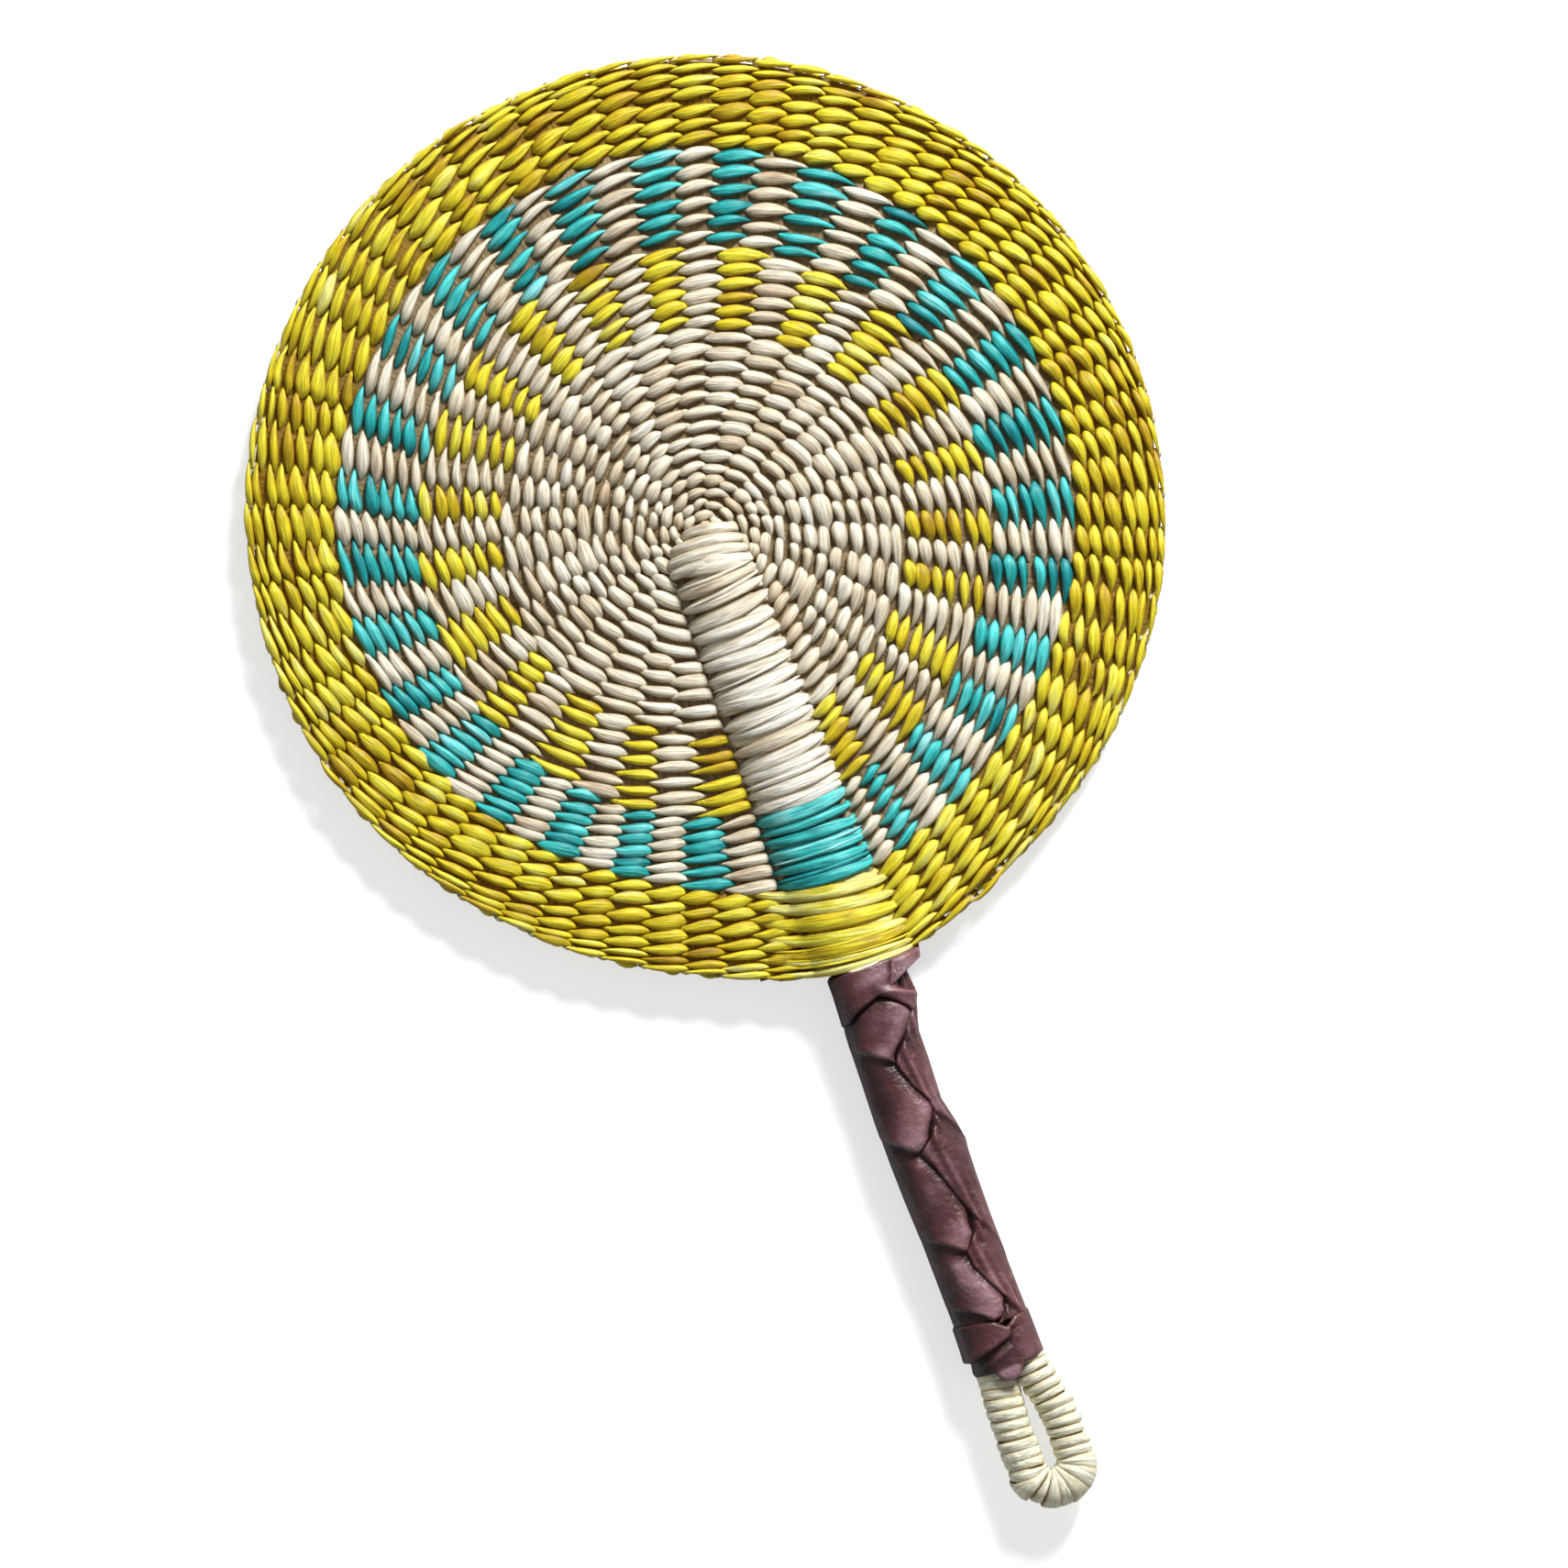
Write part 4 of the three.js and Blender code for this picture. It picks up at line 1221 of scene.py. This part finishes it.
# %% [markdown]
# The end band has a strap end folded across its front and is drawn in at its lower edge to close the grip.
# Painted shade darkens it under the fold, and a pale tongue of it reaches down between the legs of the loop.

# %% End band
BAND_EDGE_X = (-33, -9.9, -0.1, 3.1, 6.5, 14, 33)
BAND_EDGE_Y = (-236, -236.2, -237.4, -240.5, -238.5, -238, -236)
BAND_LOW = -251.8
FOLD_X = (-33, -9.0, -4.8, 3.1, 4.0, 33)
FOLD_Y = (-247.5, -247.4, -246.4, -243.8, -241.5, -238.0)
BAND_LIFT = 0.45
BAND_LAP = (0.8, 1.3)
BAND_LAP_END = 3
BAND_LAP_FADE = 2
BAND_RIDGE = ((-1, -2.6), (5, 1.3), 0.9)
BAND_ROLL = 0.6
BAND_CLOSE = 0.5
BAND_SHADE = 0.12
BAND_CORNER = (0.12, (1, 6), (243, 248))
TONGUE = 3.6
TONGUE_HALF = 3.6
TONGUE_SHINE = 0.6
TONGUE_LEVELS = (250.5, 252.5)

tongue = hump(ring_beside, TONGUE_HALF, 4)
upper = np.interp(ring_beside, BAND_EDGE_X, BAND_EDGE_Y)
levels = upper + ring_share * (BAND_LOW - TONGUE * tongue - upper)
above = levels - np.interp(ring_beside, FOLD_X, FOLD_Y)
fade = hump(np.maximum(0, ring_beside - BAND_LAP_END), BAND_LAP_FADE, 1)
lift = BAND_LIFT + lapped(above, *BAND_LAP, fade) + spot(ring_beside, above, *BAND_RIDGE)
lift = lift - BAND_ROLL * (1 - ease(ring_share, 0, 0.06)) - BAND_CLOSE * ease(ring_share, 0.93, 1)
# Painted shade at the lower left, under the fold; the tongue is made paler.
shade = BAND_SHADE + lower_left(levels, *BAND_CORNER)
shade = shade - TONGUE_SHINE * tongue * ease(-levels, *TONGUE_LEVELS)
add_ring("end_band_leather", levels, lift, shade, "leather_end_band")

# %% [markdown]
# A loose end of the collar strap sticks out at the right, just under the rim.
# It is a small sheet that bends down from the collar to the right and dips under the rim.

# %% Loose tab of the collar
TAB_CORNERS = ((5.9, -138.9), (7.6, -128.0), (17.0, -134.2), (18.4, -128.5))
TAB_HEIGHTS = (8.4, 5.2, 2.6, 1.8)
TAB_BULGE = 1.6
TAB_DIP = 3.6
TAB_DIP_LEVELS = (-132.5, -129.5)

across = np.linspace(0, 1, 24)[None, :, None]
down = np.linspace(0, 1, 16)[:, None, None]
corners = np.column_stack([TAB_CORNERS, TAB_HEIGHTS])
near = corners[0] + down * (corners[1] - corners[0])
far = corners[2] + down * (corners[3] - corners[2])
tab_points = near + across * (far - near)
tab_points[..., 2] += TAB_BULGE * np.sin(math.pi * across[..., 0]) * (1 - 0.5 * down[..., 0])
tab_points[..., 2] -= TAB_DIP * ease(tab_points[..., 1], *TAB_DIP_LEVELS)
tab_edge = np.minimum(np.minimum(across, 1 - across), down)[..., 0]
add_leather("tab_leather", tab_points, 0.38 + 0.2 * np.exp(-tab_edge * 12), "leather_tab")

# %% [markdown]
# The hanging loop is a bent bundle of straw with one pale straw wound round it from end to end.
# The winding follows a helix round the loop's line; its straw is wider on the outside of the bend,
# and every turn lies a little off its place.

# %% Line of the loop
LOOP_MIDDLE = 1.95
LOOP_BEND = 7.15
LOOP_ROOTS = (-4.1, 5.6)
LOOP_MOUTH = -249.0
LOOP_FREE = -272.0
LOOP_TURN_LEVEL = -282.0
LOOP_STEPS = 60


def loop_line(count):
    """Points evenly along the loop: down the left leg, round the bend and up the right leg.
    With them come their distance along it, its direction and the direction across it."""
    share = np.linspace(0, 1, LOOP_STEPS)
    legs = []
    for root, sign in zip(LOOP_ROOTS, (-1, 1)):
        x = root + ease(share, 0, 1) * (LOOP_MIDDLE + sign * LOOP_BEND - root)
        legs.append(np.column_stack([x, LOOP_MOUTH + share * (LOOP_FREE - LOOP_MOUTH)]))
    bend = np.column_stack([
        LOOP_MIDDLE - LOOP_BEND * np.cos(math.pi * share),
        LOOP_TURN_LEVEL - LOOP_BEND * np.sin(math.pi * share),
    ])
    corners = np.concatenate([legs[0], bend, legs[1][::-1]])
    length = np.concatenate([[0], np.cumsum(np.linalg.norm(np.diff(corners, axis=0), axis=1))])
    stations = np.linspace(0, length[-1], count)
    plan = np.column_stack([np.interp(stations, length, corners[:, axis]) for axis in (0, 1)])
    line = np.column_stack([plan, np.zeros(count)])
    heading = unit(np.gradient(line, axis=0))
    flank = np.column_stack([heading[:, 1], -heading[:, 0], np.zeros(count)])
    return line, stations, heading, flank


loop_length = loop_line(LOOP_STEPS)[1][-1]
print("Length of the loop:", round(loop_length, 1))

# %% Winding of the loop
WOUND_RADIUS = 5.05
WINDING_PITCH = 2.9
WINDING_STEPS = 20
WINDING_WIDTH = 1.04
WINDING_DEPTH = 0.62
WINDING_TONE = 1.1
STRETCH_LIMITS = (0.45, 1.7)
UNEVEN_RADIUS = 0.26
UNEVEN_PLACE = 0.36
UNEVEN_WIDTH = 0.16
UNEVEN_TONE = 0.16
FIBRE_STRETCH = 8
PALE = [(228, 205, 143), (250, 235, 180), (255, 247, 200), (255, 251, 212), (255, 253, 226)]

turns = int(loop_length / WINDING_PITCH)
count = turns * WINDING_STEPS + 1
line, stations, heading, flank = loop_line(count)
helix = np.linspace(0, 2 * math.pi * turns, count)
outwards = np.cos(helix)[:, None] * flank + np.sin(helix)[:, None] * UP
turn_numbers = np.arange(turns + 1)
per_turn = luck.normal(0, 1, (2, turns + 1))
thick, placed = [np.interp(helix / (2 * math.pi), turn_numbers, values) for values in per_turn]
path = line + (WOUND_RADIUS + UNEVEN_RADIUS * thick[:, None]) * outwards
path = path + UNEVEN_PLACE * placed[:, None] * heading
bend_rate = np.gradient(np.unwrap(np.arctan2(heading[:, 1], heading[:, 0])), stations)
stretch = np.clip(1 + bend_rate * WOUND_RADIUS * np.cos(helix), *STRETCH_LIMITS)
half_width = 0.5 * WINDING_PITCH * stretch * (WINDING_WIDTH + UNEVEN_WIDTH * thick)
turn_tone = WINDING_TONE + UNEVEN_TONE * placed
winding = straw(path, heading, outwards, half_width, WINDING_DEPTH, stations * FIBRE_STRETCH, turn_tone, 0.0)
pale_straw = straw_finish("straw_pale", PALE, (214, 190, 138))
add_piece(straw_mesh("loop_straw", [winding]), pale_straw, "straw_pale", "loop_winding")
print("Turns of the winding:", turns)

# %% [markdown]
# Inside the disc and the grip runs the handle core, a bundle of straws. It shows in the slits of the seam
# and at the rim, where a pale straw is tied round it. Inside the disc its straws spread out flat.
# The loop has a bundle of its own, hidden by the winding.

# %% Handle core
CORE_TOP = -4.0
CORE_END = -249.0
CORE_STEPS = 30
CORE_RINGS = ((0.0, 1), (3.4, 8))
CORE_STRAW = 1.5
# Painted shade: the core straws get a low tone and a deep shade depth, which darken them as if they lay in
# shadow.
CORE_SHADE = {"tone": 0.3, "depth": 0.85}
SPREAD_END = -128.0
SPREAD = 0.25
SPREAD_STRAWS = (-9.6, -6.4, -3.2, 0, 3.2, 6.4, 9.6)
SPREAD_SLOPE = 0.4
SPREAD_HALF = 2.1
SPREAD_FLATNESS = 0.6
TIE_LEVEL = -131.5
TIE_STEPS = 33
TIE_OVAL = (9.2, 0, 8.6)
TIE_STRAW = 0.65

levels = np.linspace(CORE_TOP, CORE_END, CORE_STEPS)
axis = np.column_stack([0 * levels, levels, 0 * levels])
core_straws = []
for radius, count in CORE_RINGS:
    for number in range(count):
        turn = 2 * math.pi * number / count
        outward = np.array([math.cos(turn), 0, math.sin(turn)])
        side = np.cross(DOWN_HANDLE, outward)
        path = axis + radius * outward
        core_straws.append(straw(path, side, outward, CORE_STRAW, CORE_STRAW, -levels, **CORE_SHADE))

for place in SPREAD_STRAWS:
    levels = np.linspace(CORE_TOP - SPREAD_SLOPE * abs(place), SPREAD_END, CORE_STEPS)
    beside = place * (1 + SPREAD * (CORE_TOP - levels) / (CORE_TOP - SPREAD_END))
    path = np.column_stack([beside, levels, 0 * levels])
    side = np.cross(DOWN_HANDLE, UP)
    half_depth = SPREAD_FLATNESS * SPREAD_HALF
    core_straws.append(straw(path, side, UP, SPREAD_HALF, half_depth, -levels, **CORE_SHADE))

turn = np.linspace(-math.pi, math.pi, TIE_STEPS)
up = np.column_stack([np.sin(turn), 0 * turn, np.cos(turn)])
path = up * TIE_OVAL + [0, TIE_LEVEL, 0]
path[:, 2] = np.maximum(path[:, 2], FLOOR_LEVEL + 1) - ease(-path[:, 0], 1, 5) * (path[:, 2] > 0)
tie = straw(path, -DOWN_HANDLE, up, TIE_STRAW, TIE_STRAW, FIBRE_STRETCH * turn, 0.6, 0.3, pinched=False)
add_piece(straw_mesh("handle_straws", [*core_straws, tie]), natural_straw, "straw_natural", "handle_core")

# %% Bundle inside the loop
BUNDLE_RADIUS = 4.3

line, stations, heading, flank = loop_line(LOOP_STEPS)
bundle = straw(line, flank, UP, BUNDLE_RADIUS, BUNDLE_RADIUS, stations, tone=0.5, depth=0.0)
add_piece(straw_mesh("loop_bundle", [bundle]), shaded_straw, "straw_natural", "loop_core")
